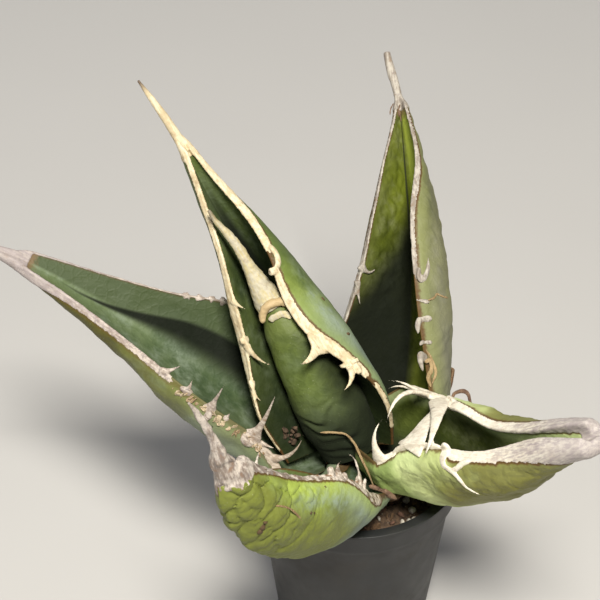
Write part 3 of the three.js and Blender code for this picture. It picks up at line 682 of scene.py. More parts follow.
class Leaf:
    """A leaf's numbers from its table, with the course of its midrib."""

    def __init__(self, name, spec):
        self.name = name
        self.spec = spec
        reach, bearing, height = spec["base"]
        turn = math.radians(bearing)
        self.start = Vector((reach * math.cos(turn), reach * math.sin(turn), height))
        self.course = Course(self.start, spec["length"], spec["lift"], spec["turn"], spec["roll"])
        self.seed = 1.7 * len(name) + spec["length"]

    def band_width(self, hand, face, t):
        """How far the horn reaches in from the margin over one face, with its ragged inner edge."""
        side = HANDS[hand]
        if "band_" + side not in self.spec:
            return 0.0
        width = along(self.spec["band_" + side][face], t)
        cover = 0.0
        for start, end in self.spec["horn_" + side]:
            cover = max(cover, smooth(start - 0.01, start + 0.01, t) * smooth(end + 0.01, end - 0.01, t))
        width *= cover
        y = t * self.spec["length"]
        offset = self.seed + 3 * hand + (1 if face == "upper" else 2)
        ragged = 0.16 * wobble(y / 2.1, offset) + 0.12 * wobble(y / 0.8, offset, 5)
        return max(width * (1 + ragged), BAND_LEAST * cover)

    def heel_shift(self):
        """The way from the leaf's start to where its foot meets the stem."""
        inward = min(HEEL_REACH / self.spec["base"][0], 1) - 1
        return Vector((self.start.x * inward, self.start.y * inward, 0))


# How each leaf's faces swell and crease, in millimetres out of the face at a point of it


def lumpy(point, size, depth):
    """Round cushions of about a size, parted by narrow creases."""
    warp = Vector((wobble(*(point / 4)), wobble(*(point / 4 + Vector((9, 0, 0)))), 0))
    gap = cells(*((point + 1.2 * warp) / size))
    dome = 1 - min(gap / 0.6, 1)
    return depth * (math.sqrt(1 - dome * dome) - 0.6)


def relief_front(face, t, share, point):
    if face == "upper":
        return waves(point, (0.15, 5))
    cushions = lumpy(point, 7, 0.2 + 1.1 * smooth(0.5, 0.75, t))
    small = 0.35 * lumpy(point, 3.4, 1) * smooth(0.4, 0.7, t)
    return cushions + small + waves(point, (0.5, 6), (0.1, 1.5), (0.06, 0.7))


def relief_right(face, t, share, point):
    if face == "upper":
        return waves(point, (0.12, 6))
    full = 1.3 * smooth(0.36, 0.5, t) * smooth(0.82, 0.62, t) * smooth(0.1, 0.5, share)
    cushions = 0.35 * lumpy(point, 9, 1) * smooth(0.6, 0.35, t)
    small = 0.3 * lumpy(point, 3.2, 1) * smooth(0.35, 0.5, t)
    return full + cushions + small + waves(point, (0.9, 6.5), (0.25, 2.6), (0.12, (1.4, 3, 1.1)))


def relief_back(face, t, share, point):
    if face == "upper":
        where = smooth(0.3, 0.5, t) * smooth(0.04, 0.25, share)
        return waves(point, (0.6, 2.9), (0.25, 1.5)) * where + waves(point, (0.1, 6))
    return waves(point, (0.3, 7), (0.2, 2.2), (0.25, 3.6)) + 0.35 * lumpy(point, 9, 1)


def relief_left(face, t, share, point):
    if face == "upper":
        return waves(point, (0.2, 7), (0.06, (5, 1.6, 1.6)))
    return waves(point, (0.6, 5), (0.15, 2.4))


def relief_tall(face, t, share, point):
    if face == "upper":
        return waves(point, (0.12, 5))
    return waves(point, (0.25, 8), (0.07, 2))


def relief_dry(face, t, share, point):
    return waves(point, (0.35, 2.5), (0.2, 1.1))


RELIEF = {
    "tall": relief_tall, "back": relief_back, "left": relief_left,
    "right": relief_right, "front": relief_front,
}


# Painted shade on the inner face, from 0 to 1, by share of length and share across: dark in creases and cast
# shadows


# Painted shade along the channel's crease, fading out near the tip
def painted_shade_tall(t, share):
    return smooth(0.25, 0.05, abs(share + 0.05)) * smooth(0.95, 0.7, t)


# Painted shade: a thin line in the crease, and a painted shadow over the lower part of the left half
def painted_shade_back(t, share):
    crease = smooth(0.06, 0.01, abs(share))
    return max(crease, smooth(0.76, 0.58, t + 0.25 * share) * smooth(-0.1, 0.02, share))


# Painted shadow across the far (right) wing below its lit rim, wider toward the base
def painted_shade_left(t, share):
    below = share + 0.52 * smooth(0.85, 0.5, t)
    reach = 0.1 + 0.42 * smooth(0.8, 0.45, t)
    return smooth(-0.06, 0.02, below) * smooth(reach, 0.4 * reach, below) * smooth(0.92, 0.75, t)


# Painted shade over the middle of the channel, fading out near the tip
def painted_shade_right(t, share):
    return smooth(0.5, 0.1, abs(share)) * smooth(0.95, 0.6, t)


def no_painted_shade(t, share):
    return 0.0


PAINTED_SHADE = {"tall": painted_shade_tall, "back": painted_shade_back, "left": painted_shade_left, "right": painted_shade_right}


# Mesh helpers


def deselect():
    if bpy.context.object and bpy.context.object.mode != "OBJECT":
        bpy.ops.object.mode_set(mode="OBJECT")
    bpy.ops.object.select_all(action="DESELECT")


def pick(*objects):
    deselect()
    for obj in objects:
        obj.select_set(True)
    bpy.context.view_layer.objects.active = objects[0]


def settle(obj):
    """Puts the object's place and turn into its mesh."""
    pick(obj)
    bpy.ops.object.transform_apply(location=True, rotation=True, scale=True)


def apply(obj, kind, **settings):
    """Adds a modifier, sets it and applies it."""
    pick(obj)
    modifier = obj.modifiers.new(kind.lower(), kind)
    for key, value in settings.items():
        setattr(modifier, key, value)
    bpy.ops.object.modifier_apply(modifier=modifier.name)


def write_mark(obj, name, values):
    """Gives each point of a mesh a number, which the materials read by its name."""
    attribute = obj.data.attributes.get(name) or obj.data.attributes.new(name, "FLOAT", "POINT")
    attribute.data.foreach_set("value", values)


def sweep(name, rings, marks=None):
    """A closed skin through rings of points of equal number, in millimetres, made from one grid.

    marks gives named numbers for each ring's points, which the materials read.
    """
    deselect()
    columns = len(rings[0])
    rows = len(rings)
    bpy.ops.mesh.primitive_grid_add(x_subdivisions=columns, y_subdivisions=rows - 1, size=1)
    obj = bpy.context.object
    obj.name = name
    flat = []
    for ring in rings:
        for point in [*ring, ring[0]]:
            flat.extend(value * MM for value in point)
    obj.data.vertices.foreach_set("co", flat)
    for key, values in (marks or {}).items():
        write_mark(obj, key, [value for row in values for value in [*row, row[0]]])
    bpy.ops.object.mode_set(mode="EDIT")
    bpy.ops.mesh.select_all(action="SELECT")
    bpy.ops.mesh.remove_doubles(threshold=MERGE_DISTANCE)
    bpy.ops.mesh.select_all(action="DESELECT")
    bpy.ops.mesh.select_non_manifold()
    bpy.ops.mesh.edge_face_add()
    bpy.ops.mesh.select_all(action="SELECT")
    bpy.ops.mesh.quads_convert_to_tris(ngon_method="BEAUTY")
    bpy.ops.mesh.normals_make_consistent(inside=False)
    bpy.ops.object.mode_set(mode="OBJECT")
    return obj


def even_marks(rings, value=0.0):
    """One number for every point of the rings."""
    return [[value] * len(ring) for ring in rings]


def turned(name, profile, segments):
    """A round body from a profile of (radius, height) pairs in millimetres, closed at both ends."""
    deselect()
    radius, height = profile[0]
    bpy.ops.mesh.primitive_circle_add(
        vertices=segments, radius=radius * MM, fill_type="TRIFAN", location=(0, 0, height * MM))
    obj = bpy.context.object
    settle(obj)
    bpy.ops.object.mode_set(mode="EDIT")
    bpy.ops.mesh.select_all(action="DESELECT")
    bpy.ops.mesh.select_non_manifold()
    for next_radius, next_height in profile[1:]:
        bpy.ops.mesh.extrude_edges_move(
            TRANSFORM_OT_translate={"value": (0, 0, (next_height - height) * MM)})
        scale = next_radius / radius
        bpy.ops.transform.resize(value=(scale, scale, 1), center_override=(0, 0, next_height * MM))
        radius, height = next_radius, next_height
    bpy.ops.mesh.edge_face_add()
    bpy.ops.mesh.poke()
    bpy.ops.mesh.select_all(action="SELECT")
    bpy.ops.mesh.remove_doubles(threshold=MERGE_DISTANCE)
    bpy.ops.mesh.normals_make_consistent(inside=False)
    bpy.ops.object.mode_set(mode="OBJECT")
    obj.name = name
    return obj


def joined(name, objects):
    pick(*objects)
    bpy.ops.object.join()
    obj = bpy.context.object
    obj.name = name
    return obj


def fused(obj, voxel, passes):
    """Joins overlapping shells into one skin, and carries the marks over from the nearest old points."""
    names = [a.name for a in obj.data.attributes if a.domain == "POINT" and a.data_type == "FLOAT"]
    old = {n: [d.value for d in obj.data.attributes[n].data] for n in names}
    tree = kdtree.KDTree(len(obj.data.vertices))
    for i, vertex in enumerate(obj.data.vertices):
        tree.insert(vertex.co, i)
    tree.balance()
    apply(obj, "REMESH", mode="VOXEL", voxel_size=voxel * MM, use_smooth_shade=True)
    apply(obj, "SMOOTH", factor=0.5, iterations=passes)
    near = [tree.find(vertex.co)[1] for vertex in obj.data.vertices]
    for name, values in old.items():
        write_mark(obj, name, [values[i] for i in near])
    return obj


def roughen(obj, amount):
    """Moves each point along its normal by what amount says for its place in millimetres."""
    mesh = obj.data
    moved = []
    for vertex in mesh.vertices:
        co = vertex.co + vertex.normal * (amount(vertex.co / MM) * MM)
        moved.extend(co)
    mesh.vertices.foreach_set("co", moved)
    mesh.update()


def oval(centre, wide, half_width, high, half_height, count):
    """A ring of points round a centre, in the plane of two directions."""
    ring = []
    for i in range(count):
        angle = 2 * math.pi * i / count
        ring.append(
            centre + wide * (half_width * math.cos(angle)) + high * (half_height * math.sin(angle)))
    return ring


def round_ring(frame, radius, count):
    point, _, side, normal = frame
    return oval(point, side, radius, normal, radius, count)


def strewn(name, grains, rough):
    """Copies of one small stone as one piece, from (place, size, flatness) of each in millimetres."""
    deselect()
    bpy.ops.mesh.primitive_ico_sphere_add(subdivisions=2, radius=1)
    pattern = bpy.context.object
    copies = []
    for place, size, flat in grains:
        grain = pattern.copy()
        grain.data = pattern.data.copy()
        bpy.context.scene.collection.objects.link(grain)
        grain.location = [value * MM for value in place]
        grain.rotation_euler = [random.uniform(0, 6.3) for _ in range(3)]
        grain.scale = (
            size * MM, size * random.uniform(0.6, 1) * MM, size * flat * random.uniform(0.5, 1) * MM)
        copies.append(grain)
    bpy.data.objects.remove(pattern)
    piece = joined(name, copies)
    settle(piece)
    roughen(piece, lambda co: rough * wobble(co.x / 0.7, co.y / 0.7, co.z / 0.7))
    return piece


def finish(obj, name, material, slot, *nodes, smooth_angle=60):
    """Names a finished piece, gives it its material, and lets it ride and stand for its CAD nodes."""
    obj.name = name
    obj.data.materials.clear()
    obj.data.materials.append(material)
    pick(obj)
    bpy.ops.object.shade_smooth_by_angle(angle=math.radians(smooth_angle))
    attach(obj, "root")
    if nodes:
        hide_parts(*nodes)
    return obj


# Leaf and horn shapes


def blade_ring(leaf, section, steps, pad=0.0):
    """The ring of one section and the marks of its points, from the left margin over the upper face."""
    t = section.t
    relief = RELIEF.get(leaf.name, relief_dry)
    # fold here gives the inner face's painted shade, which the materials read from the mark named fold
    fold = PAINTED_SHADE.get(leaf.name, no_painted_shade)
    bands = {(hand, face): leaf.band_width(hand, face, t) for hand in HANDS for face in FACES}
    points = []
    marks = {"upper": [], "edge": [], "across": [], "fold": []}

    def add(point, *values):
        points.append(point)
        for name, value in zip(marks, values):
            marks[name].append(value)

    for face, sign in zip(FACES, (-1, 1)):
        inner = face == "upper"
        for i in range(-steps, steps + 1):
            share = sign * i / steps
            edge = section.rim_distance(share) - bands[hand_of(share), face]
            if inner:
                point, _, way = section.upper(share)
            else:
                point, way = section.lower(share)
            swell = relief(face, t, share, point) * smooth(0, RELIEF_FADE, edge) + pad
            add(point + way * swell, float(inner), edge, share, fold(t, share) if inner else 0.0)
        corner, out, up = section.upper(sign)
        rim = section.rim[sign] / 2
        middle = corner - up * rim
        for turn in (45, 90, 135):
            rise = -sign * math.cos(math.radians(turn)) * (rim + pad)
            push = math.sin(math.radians(turn)) * (0.6 * rim + pad)
            add(middle + up * rise + out * push, 0.5, min(0.0, 0.3 - bands[sign, "lower"]), sign, 0.0)
    return points, marks


def make_blade(leaf, stations, steps):
    """A leaf's green blade, from its narrowed heel to inside its sheath of horn."""
    shift = leaf.heel_shift()
    sections = []
    for k in range(HEEL_ROWS):
        u = k / HEEL_ROWS
        sections.append(Section(leaf, 0, HEEL_WIDTH + (1 - HEEL_WIDTH) * u, shift * (1 - u)))
    end = min(leaf.spec["sheath"] + 0.015, BLADE_END)
    sections += [Section(leaf, end * k / stations) for k in range(stations + 1)]
    rings = []
    marks = {"upper": [], "edge": [], "across": [], "fold": [], "share": []}
    for section in sections:
        points, ring_marks = blade_ring(leaf, section, steps)
        rings.append(points)
        ring_marks["share"] = [section.t] * len(points)
        for name, values in ring_marks.items():
            marks[name].append(values)
    return sweep(leaf.name + "_leaf", rings, marks)


def make_band(leaf, hand, start, end):
    """One run of the horn on a margin, proud of both faces, rounded over the rim and fading at its ends."""
    rings, shares = [], []
    stations = max(int((end - start) * BAND_ROWS), 8)
    for k in range(stations + 1):
        t = start + (end - start) * k / stations
        section = Section(leaf, min(t, BLADE_END))
        y = t * leaf.spec["length"]
        ease = smooth(0, BAND_FADE, t - start)
        if end < 1:
            ease *= smooth(0, BAND_FADE, end - t)
        lumps = 0.08 * wobble(y / 1.7, leaf.seed, hand) + 0.07 * wobble(y / 4, leaf.seed, hand + 3)
        swell = lumps - 0.35 * (1 - ease)
        half = section.half[hand]
        upper, lower = (
            min(max(leaf.band_width(hand, face, t), BAND_LEAST), 0.98 * half) for face in FACES)
        ring = []
        for j in range(5):
            point, _, up = section.upper(hand * (1 - upper * (1 - j / 5) / half))
            ring.append(point + up * (BAND_RISE[j] + swell))
        corner, out, up = section.upper(hand)
        rim = section.rim[hand] / 2
        middle = corner - up * rim
        for turn in (20, 55, 90, 125, 160):
            rise = math.cos(math.radians(turn)) * (rim + 0.15)
            push = math.sin(math.radians(turn)) * (0.6 * rim + 0.2 + swell)
            ring.append(middle + up * rise + out * push)
        for j in range(8, -1, -1):
            point, down = section.lower(hand * (1 - lower * (1 - j / 9) ** 1.7 / half))
            ring.append(point + down * (BAND_RISE[min(j, 4)] + swell))
        inner = section.lower(hand * (1 - lower / half))[0]
        outer = section.upper(hand * (1 - upper / half))[0]
        ring += [inner.lerp(outer, depth) for depth in (0.3, 0.7)]
        rings.append(ring)
        shares.append([t] * len(ring))
    return sweep("band", rings, {"share": shares, "point": even_marks(rings)})


def make_tip(leaf, steps, stations):
    """The sheath of horn round the leaf's tip, running out into the spine with its groove."""
    rings, shares, marks = [], [], []
    start = leaf.spec["sheath"]
    for k in range(stations):
        t = start + (0.995 - start) * k / stations
        points, _ = blade_ring(leaf, Section(leaf, t), steps, TIP_PAD)
        rings.append(points)
        shares.append([t] * len(points))
        marks.append([0.0] * len(points))
    spine = leaf.spec["spine"]
    point, _, _, normal = leaf.course.frame(1)
    foot = point - normal * (0.4 * spine["radius"][0])
    course = Course(foot, spine["length"], spine["lift"], spine["turn"], leaf.spec["roll"][-2:])
    last = rings[-1]
    count = len(last)
    rows = 60
    for k in range(rows + 1):
        u = k / rows
        centre, _, side, normal = course.frame(u)
        radius = along(spine["radius"], u)
        groove = spine["groove"] * (1 - smooth(0.5, 0.9, u))
        ring = []
        for i in range(count):
            angle = 2 * math.pi * (i + 0.5) / count
            dent = groove * math.exp(-((angle - math.pi / 2) / 0.45) ** 2)
            way = side * math.cos(angle) + normal * math.sin(angle)
            ring.append(centre + way * radius * (1 - dent))
        blend = smooth(0, 0.25, u + 0.02)
        drift = centre - course.frame(0)[0]
        rings.append([(old + drift).lerp(new, blend) for old, new in zip(last, ring)])
        shares.append([1.0] * count)
        marks.append([u] * count)
    return sweep("tip", rings, {"share": shares, "point": marks})


def make_tooth(leaf, hand, tooth):
    """A flattened horn that leaves the margin with a flared root and bends over to its tip."""
    section = Section(leaf, tooth.at)
    corner, out, up = section.upper(hand)
    tangent = section.tangent
    foot = corner - up * (section.rim[hand] / 2)

    def local(vector):
        return out * vector[0] + tangent * vector[1] + up * vector[2]

    reach = local(tooth.reach)
    bend = local(tooth.bend) if tooth.bend else reach * 0.5 + out * (0.08 * reach.length)
    rings, marks = [], []
    count = 14
    rows = 14
    for k in range(-1, rows + 1):
        u = max(k, 0) / rows
        centre = foot + bend * (2 * u * (1 - u)) + reach * (u * u)
        heading = (bend * (2 - 4 * u) + reach * (2 * u)).normalized()
        if k < 0:
            centre = foot - bend.normalized() * TOOTH_SUNK
        wide = tangent - heading * tangent.dot(heading)
        if wide.length < 0.25:
            wide = up - heading * up.dot(heading)
        wide.normalize()
        share = along(TOOTH_PROFILE, u ** tooth.taper)
        share = share + (1 - share) * tooth.blunt * (1 - smooth(0.75, 1, u))
        root = 1 + (tooth.flare - 1) * (1 - smooth(0, 0.3, u))
        half_width = max(tooth.width / 2 * share * root, 0.1)
        half_depth = max(min(tooth.width, TOOTH_THICKNESS) / 2 * share, 0.1)
        rings.append(oval(centre, wide, half_width, heading.cross(wide), half_depth, count))
        marks.append([u] * count)
    return sweep("tooth", rings, {"share": even_marks(rings, tooth.at), "point": marks})


def strapped(places, widths, thick, share):
    """A flat strap with rounded ends through places, each a point and the way up out of the face there."""
    rows = len(places) - 1
    rings = []
    for k, (point, way) in enumerate(places):
        heading = (places[min(k + 1, rows)][0] - places[max(k - 1, 0)][0]).normalized()
        wide = way.cross(heading).normalized()
        width = along(widths, k / rows)
        ends = math.sqrt(max(1 - (2 * k / rows - 1) ** 8, 0.02))
        rings.append(oval(point, wide, width / 2 * ends, way, min(thick, width) / 2 * ends, 16))
    return sweep("strap", rings, {"share": even_marks(rings, share), "point": even_marks(rings)})


def make_strap(leaf, hand, strap):
    """One strap of horn, over the outer face where its inset is above 0 and past the margin elsewhere."""
    rows = 26
    shares, insets = zip(*strap.path)
    places = []
    for k in range(rows + 1):
        inset = along(insets, k / rows)
        section = Section(leaf, along(shares, k / rows))
        if inset > 0:
            point, way = section.lower(hand * (1 - inset / section.half[hand]))
            places.append((point + way * 0.1, way))
        else:
            corner, out, up = section.upper(hand)
            places.append((corner - up * (section.rim[hand] * 0.7) - out * inset, -up))
    return strapped(places, strap.width, strap.thick, shares[0])


def make_horn(leaf, voxel):
    """All of a leaf's horn as one skin, worn rough. Its bark says how rough, and how far the ridges run."""
    pieces = [make_tip(leaf, 12, 10)]
    for hand, side in HANDS.items():
        pieces += [make_band(leaf, hand, start, end) for start, end in leaf.spec["horn_" + side]]
        pieces += [make_tooth(leaf, hand, tooth) for tooth in leaf.spec.get("teeth_" + side, ())]
        pieces += [make_strap(leaf, hand, strap) for strap in leaf.spec.get("straps_" + side, ())]
    horn = fused(joined(leaf.name + "_leaf_horn", pieces), voxel, 2)
    bark = leaf.spec.get("bark", 1)
    layers = ((0.06, (0.9, 0.9, 0.9 * bark)), (0.05, (2.2, 2.2, 2.2)))
    roughen(horn, lambda co: bark * waves(co, *layers))
    return horn


# Materials


class Value:
    """A node's output socket, with arithmetic that adds Math nodes."""

    def __init__(self, shader, socket):
        self.shader = shader
        self.socket = socket

    def math(self, operation, other, swap=False):
        first, second = (other, self) if swap else (self, other)
        return self.shader.node("ShaderNodeMath", {"operation": operation}, {0: first, 1: second})

    def __add__(self, other):
        return self.math("ADD", other)

    __radd__ = __add__

    def __sub__(self, other):
        return self.math("SUBTRACT", other)

    def __rsub__(self, other):
        return self.math("SUBTRACT", other, swap=True)

    def __mul__(self, other):
        return self.math("MULTIPLY", other)

    __rmul__ = __mul__

    def clamped(self):
        return self.shader.node("ShaderNodeClamp", {}, {"Value": self})

    def between(self, low, high):
        """0 below low and 1 above high, smoothly; the other way round where low is the larger."""
        return self.shader.node(
            "ShaderNodeMapRange", {"interpolation_type": "SMOOTHSTEP"},
            {"Value": self, "From Min": low, "From Max": high, "To Min": 0.0, "To Max": 1.0})


class Shader:
    """A new material with its Principled shader, and the one method that adds a node to it."""

    def __init__(self, name, **surface):
        self.material = bpy.data.materials.new(name)
        self.material.use_nodes = True
        self.tree = self.material.node_tree
        self.surface = self.tree.nodes["Principled BSDF"]
        for key, value in surface.items():
            self.surface.inputs[key.replace("_", " ")].default_value = value

    def node(self, kind, settings, inputs, output=0):
        """Adds a node: its settings are made first, and then its sockets are set, or linked to a Value."""
        node = self.tree.nodes.new(kind)
        for key, value in settings.items():
            setattr(node, key, value)
        for key, value in inputs.items():
            if isinstance(value, Value):
                self.tree.links.new(value.socket, node.inputs[key])
            else:
                node.inputs[key].default_value = value
        return Value(self, node.outputs[output])

    def feed(self, name, value):
        self.tree.links.new(value.socket, self.surface.inputs[name])

    def coordinates(self):
        return self.node("ShaderNodeTexCoord", {}, {}, "Object")

    def place(self, stretch=(1, 1, 1)):
        """Object coordinates in millimetres, with each axis stretched."""
        scale = [value / MM for value in stretch]
        return self.node("ShaderNodeMapping", {}, {"Vector": self.coordinates(), "Scale": scale})

    def lengthwise(self, bearing, lift, length, width):
        """Object coordinates turned along a direction, in which a cell is so long and wide in millimetres."""
        return self.node(
            "ShaderNodeMapping", {"vector_type": "TEXTURE"},
            {"Vector": self.coordinates(), "Rotation": (0, -math.radians(lift), math.radians(bearing)),
             "Scale": (length * MM, width * MM, width * MM)})

    def mark(self, name):
        return self.node("ShaderNodeAttribute", {"attribute_name": name}, {}, "Fac")

    def grain(self, scale, detail=3.0, rough=0.5, where=None):
        """Noise of about 0 to 1, whose scale is in cells a millimetre where no other place is given."""
        return self.node(
            "ShaderNodeTexNoise", {},
            {"Vector": where or self.place(), "Scale": scale, "Detail": detail, "Roughness": rough})

    def dots(self, scale, feature="F1"):
        """Distance to the nearest of scattered dots, or to the border of its cell."""
        inputs = {"Vector": self.place(), "Scale": scale}
        return self.node("ShaderNodeTexVoronoi", {"feature": feature}, inputs, "Distance")

    def mix(self, share, first, second):
        def colour(value):
            return value if isinstance(value, Value) else (*value, 1)

        return self.node(
            "ShaderNodeMix", {"data_type": "RGBA"},
            {"Factor": share, 6: colour(first), 7: colour(second)}, 2)

    def paint(self, colour, *coats):
        """Feeds the base colour: a ground colour with coats of (share, colour) laid over it in turn."""
        for share, coat in coats:
            colour = self.mix(share, colour, coat)
        self.feed("Base Color", colour)

    def bump(self, height, strength, distance):
        normal = self.node(
            "ShaderNodeBump", {}, {"Height": height, "Strength": strength, "Distance": distance * MM})
        self.feed("Normal", normal)


def leaf_skin(
        name, upper, lower, bloom, shade, wing=((0, 0, 0), 0.0), aged=(0.7, 1.0), lip=0.35, rim=0.9):
    """Green leaf skin: its faces differ, a grey bloom lies over it, and a brown line borders the horn.

    bloom and wing are a colour and how strong it is. wing is painted light and shade on the inner face's
    right side: a painted lit strip on the back leaf and a painted shaded wing on the left leaf. shade is
    how strongly painted shade darkens the inner face toward the base, and how much the bloom thins on the
    inner face. The outer face turns old over the shares of length in aged, lip lights the inner margin,
    and rim is how strong the brown line is.
    """
    s = Shader(name, Roughness=0.5, IOR=1.45, Specular_IOR_Level=0.3)
    inner = s.mark("upper").between(0.3, 0.7)
    outer = 1 - inner
    edge = s.mark("edge")
    share = s.mark("share")
    across = s.mark("across")
    # fold is painted shade on the inner face, in creases and cast shadows
    fold = s.mark("fold")
    fine = s.grain(0.45, 4, 0.6)

    # The ground: a deep and a light green on each face, in broad and fine mottles
    broad = s.grain(0.07, 3).between(0.38, 0.62)
    mottle = (broad * 0.65 + fine.between(0.3, 0.7) * 0.35).clamped()
    ground = s.mix(
        mottle, s.mix(inner, lower["deep"], upper["deep"]), s.mix(inner, lower["light"], upper["light"]))

    # Where the skin is lighter, older, dusty, young or close to the root
    tip = (share + s.grain(0.12, 2) * 0.3).between(0.7, 1.0)
    end = (share + s.grain(0.12, 2) * 0.3 - 0.15).between(*aged)
    keel = (across * across + s.grain(0.2, 3) * 0.2 - 0.1).between(0.6, 0.12) * share.between(0.22, 0.42)
    old = (end + keel).clamped() * outer
    dusty = s.grain(0.1, 4, 0.6).between(0.42, 0.62) * fine.between(0.25, 0.75)
    dusty = (dusty + share.between(0.55, 0.28) * outer * 0.85).clamped() * (1 - old * 0.8)
    young = edge.between(5.0, 0.4) * (lip * inner + outer) * (1 - old * 0.7)
    root = (share + s.grain(0.15, 2) * 0.1 - 0.05).between(0.26, 0.12)

    # Small marks
    withered = (share + s.grain(0.7, 3, 0.6) * 0.04 - 0.02).between(0.958, 0.98)
    specks = s.dots(1.1).between(0.16, 0.08) * s.grain(0.3).between(0.5, 0.6)
    scars = s.dots(0.13).between(0.07, 0.04) * s.grain(0.08).between(0.5, 0.55)
    line = (edge + s.grain(1.2, 2) * 0.5).between(0.7, 0.3)
    wrinkles = s.dots(0.5, "DISTANCE_TO_EDGE").between(0.2, 0.0)

    s.paint(
        ground,
        (tip * inner * 0.6, upper["light"]),
        (dusty * bloom[1] * (1 - inner * shade), bloom[0]),
        (young * 0.6, lower["young"]),
        (old * 0.85, lower["old"]),
        (root * outer * 0.7, lower["root"]),
        # Painted shade: the inner face darkens toward the base
        (share.between(0.62, 0.1) * inner * shade, LEAF_TINTS["base"]),
        # Painted light and shade on the inner face's right side
        (across.between(-0.06, -0.25) * inner * wing[1], wing[0]),
        # Painted shade in creases and cast shadows
        (fold * 0.96, LEAF_TINTS["fold"]),
        (withered * inner * 0.8, LEAF_TINTS["withered"]),
        (specks * outer * (1 - fold) * 0.4, LEAF_TINTS["speck"]),
        (scars, LEAF_TINTS["scar"]),
        (line * rim, LEAF_TINTS["line"]))
    s.feed("Roughness", 0.42 + fine * 0.22 + dusty * 0.15 + fold * 0.3)
    s.bump(fine * 0.5 + s.grain(2.2, 3) * 0.3 + wrinkles * 0.3, 0.4, 0.3)
    return s.material


def horn_skin(
        name, lie, fresh, worn, stain, speckle, points, base=0.25, streaks=0.0, strand=(4, 0.55)):
    """Dry horn: fibrous and speckled where it is weathered, paler where it is young, dark at its points.

    lie is the bearing and lift that the fibres run along, and strand is their length and width. The other
    numbers say how strong the brown stain, the grey speckle, the dark points, the tan base and the grey
    streaks toward the tip are.
    """
    s = Shader(name, Roughness=0.6, IOR=1.5)
    share = s.mark("share")
    patch = s.grain(0.25, 4, 0.6)
    fibre = s.grain(1.0, 5, 0.65, s.lengthwise(*lie, *strand))
    ground = s.mix((patch * 0.4 + fibre * 0.6).between(0.43, 0.57), fresh, worn)
    streak = s.grain(1.0, 4, 0.7, s.lengthwise(*lie, 6, 0.7)).between(0.4, 0.62) * share.between(0.5, 0.85)
    s.paint(
        ground,
        (s.grain(1.1, 4, 0.7).between(0.52, 0.68) * speckle, HORN_TINTS["speckle"]),
        (s.grain(0.5, 4, 0.6).between(0.56, 0.7) * stain, HORN_TINTS["stain"]),
        (streak * streaks, HORN_TINTS["streak"]),
        (share.between(0.65, 1.0) * streaks * 0.85, HORN_TINTS["grey_end"]),
        (share.between(0.3, 0.0) * base, HORN_TINTS["base"]),
        (s.mark("point").between(0.78, 1.0) * points, HORN_TINTS["point"]))
    s.feed("Roughness", 0.5 + fibre * 0.25)
    s.bump(fibre * 0.6 + patch * 0.4, 0.5, 0.3)
    return s.material


def pot_plastic():
    """Black plastic with a dull haze and a little dust."""
    s = Shader("pot_plastic", Roughness=0.45)
    haze = s.grain(0.25, 4)
    dust = s.grain(0.05, 5, 0.7).between(0.45, 0.75)
    s.paint((0.016, 0.017, 0.018), (dust * 0.5, (0.045, 0.04, 0.034)))
    s.feed("Roughness", 0.4 + haze * 0.2 + dust * 0.2)
    s.bump(haze, 0.1, 0.1)
    return s.material


def soil_earth():
    """Dark crumbly earth with pale flecks."""
    s = Shader("soil_earth", Roughness=0.95)
    crumbs = s.grain(0.8, 5, 0.7)
    flecks = s.dots(0.9).between(0.2, 0.1)
    s.paint(
        (0.03, 0.018, 0.011),
        (crumbs.between(0.35, 0.65), (0.1, 0.06, 0.035)),
        (flecks * 0.6, (0.28, 0.24, 0.19)))
    s.bump(crumbs, 0.8, 0.6)
    return s.material


def grit(first, second):
    """Rough mineral or bark grains of two colours."""
    s = Shader("grit", Roughness=0.9)
    crumbs = s.grain(1.4, 4, 0.7)
    s.paint(first, (crumbs.between(0.35, 0.65), second))
    s.bump(crumbs, 0.6, 0.3)
    return s.material


def dead_tissue(name, kind="old_leaf"):
    """Dry brown leaf tissue with fibres and paler papery patches."""
    dark, pale, thread = TISSUES[kind]
    s = Shader(name, Roughness=0.8)
    fibre = s.grain(1.1, 4, 0.6, s.place((3, 3, 0.5)))
    patch = s.grain(0.22, 4, 0.6)
    s.paint(dark, (patch.between(0.35, 0.65), pale), (fibre.between(0.45, 0.7) * 0.5, thread))
    s.feed("Roughness", 0.65 + fibre * 0.3)
    s.bump(fibre, 0.6, 0.4)
    return s.material


class AgaveLooks(bpy.types.PropertyGroup):
    """Sizes and colours of the plant that a user would change."""

    blade_stations: IntProperty(
        name="Leaf rows", description="Rows of faces along a leaf", default=200, min=20, max=400)
    blade_steps: IntProperty(
        name="Leaf columns", description="Columns of faces across one wing of a leaf",
        default=40, min=4, max=90)
    horn_voxel: FloatProperty(
        name="Horn fineness", description="Grain of the horn's mesh in millimetres",
        default=0.25, min=0.15, max=1)
    horn_fresh: FloatVectorProperty(
        name="Fresh horn", description="Colour of young horn", subtype="COLOR",
        default=(0.74, 0.65, 0.46), min=0, max=1)
    horn_worn: FloatVectorProperty(
        name="Worn horn", description="Colour of weathered horn", subtype="COLOR",
        default=(0.55, 0.48, 0.42), min=0, max=1)
    light_power: FloatProperty(
        name="Key light", description="Power of the large soft light in watts", default=13.6, min=0,
        unit="POWER")


def looks():
    return bpy.context.scene.agave_looks


class AGAVE_OT_leaves(bpy.types.Operator):
    """Models the green blade of every open leaf"""

    bl_idname = "agave.leaves"
    bl_label = "Leaves"

    def execute(self, context):
        for name, spec in LEAVES.items():
            blade = make_blade(Leaf(name, spec), looks().blade_stations, looks().blade_steps)
            skin = leaf_skin(name + "_leaf_skin", **LEAF_SKINS[name])
            finish(blade, name + "_leaf_blade", skin, "leaf_green", "leaf_" + name)
        return {"FINISHED"}


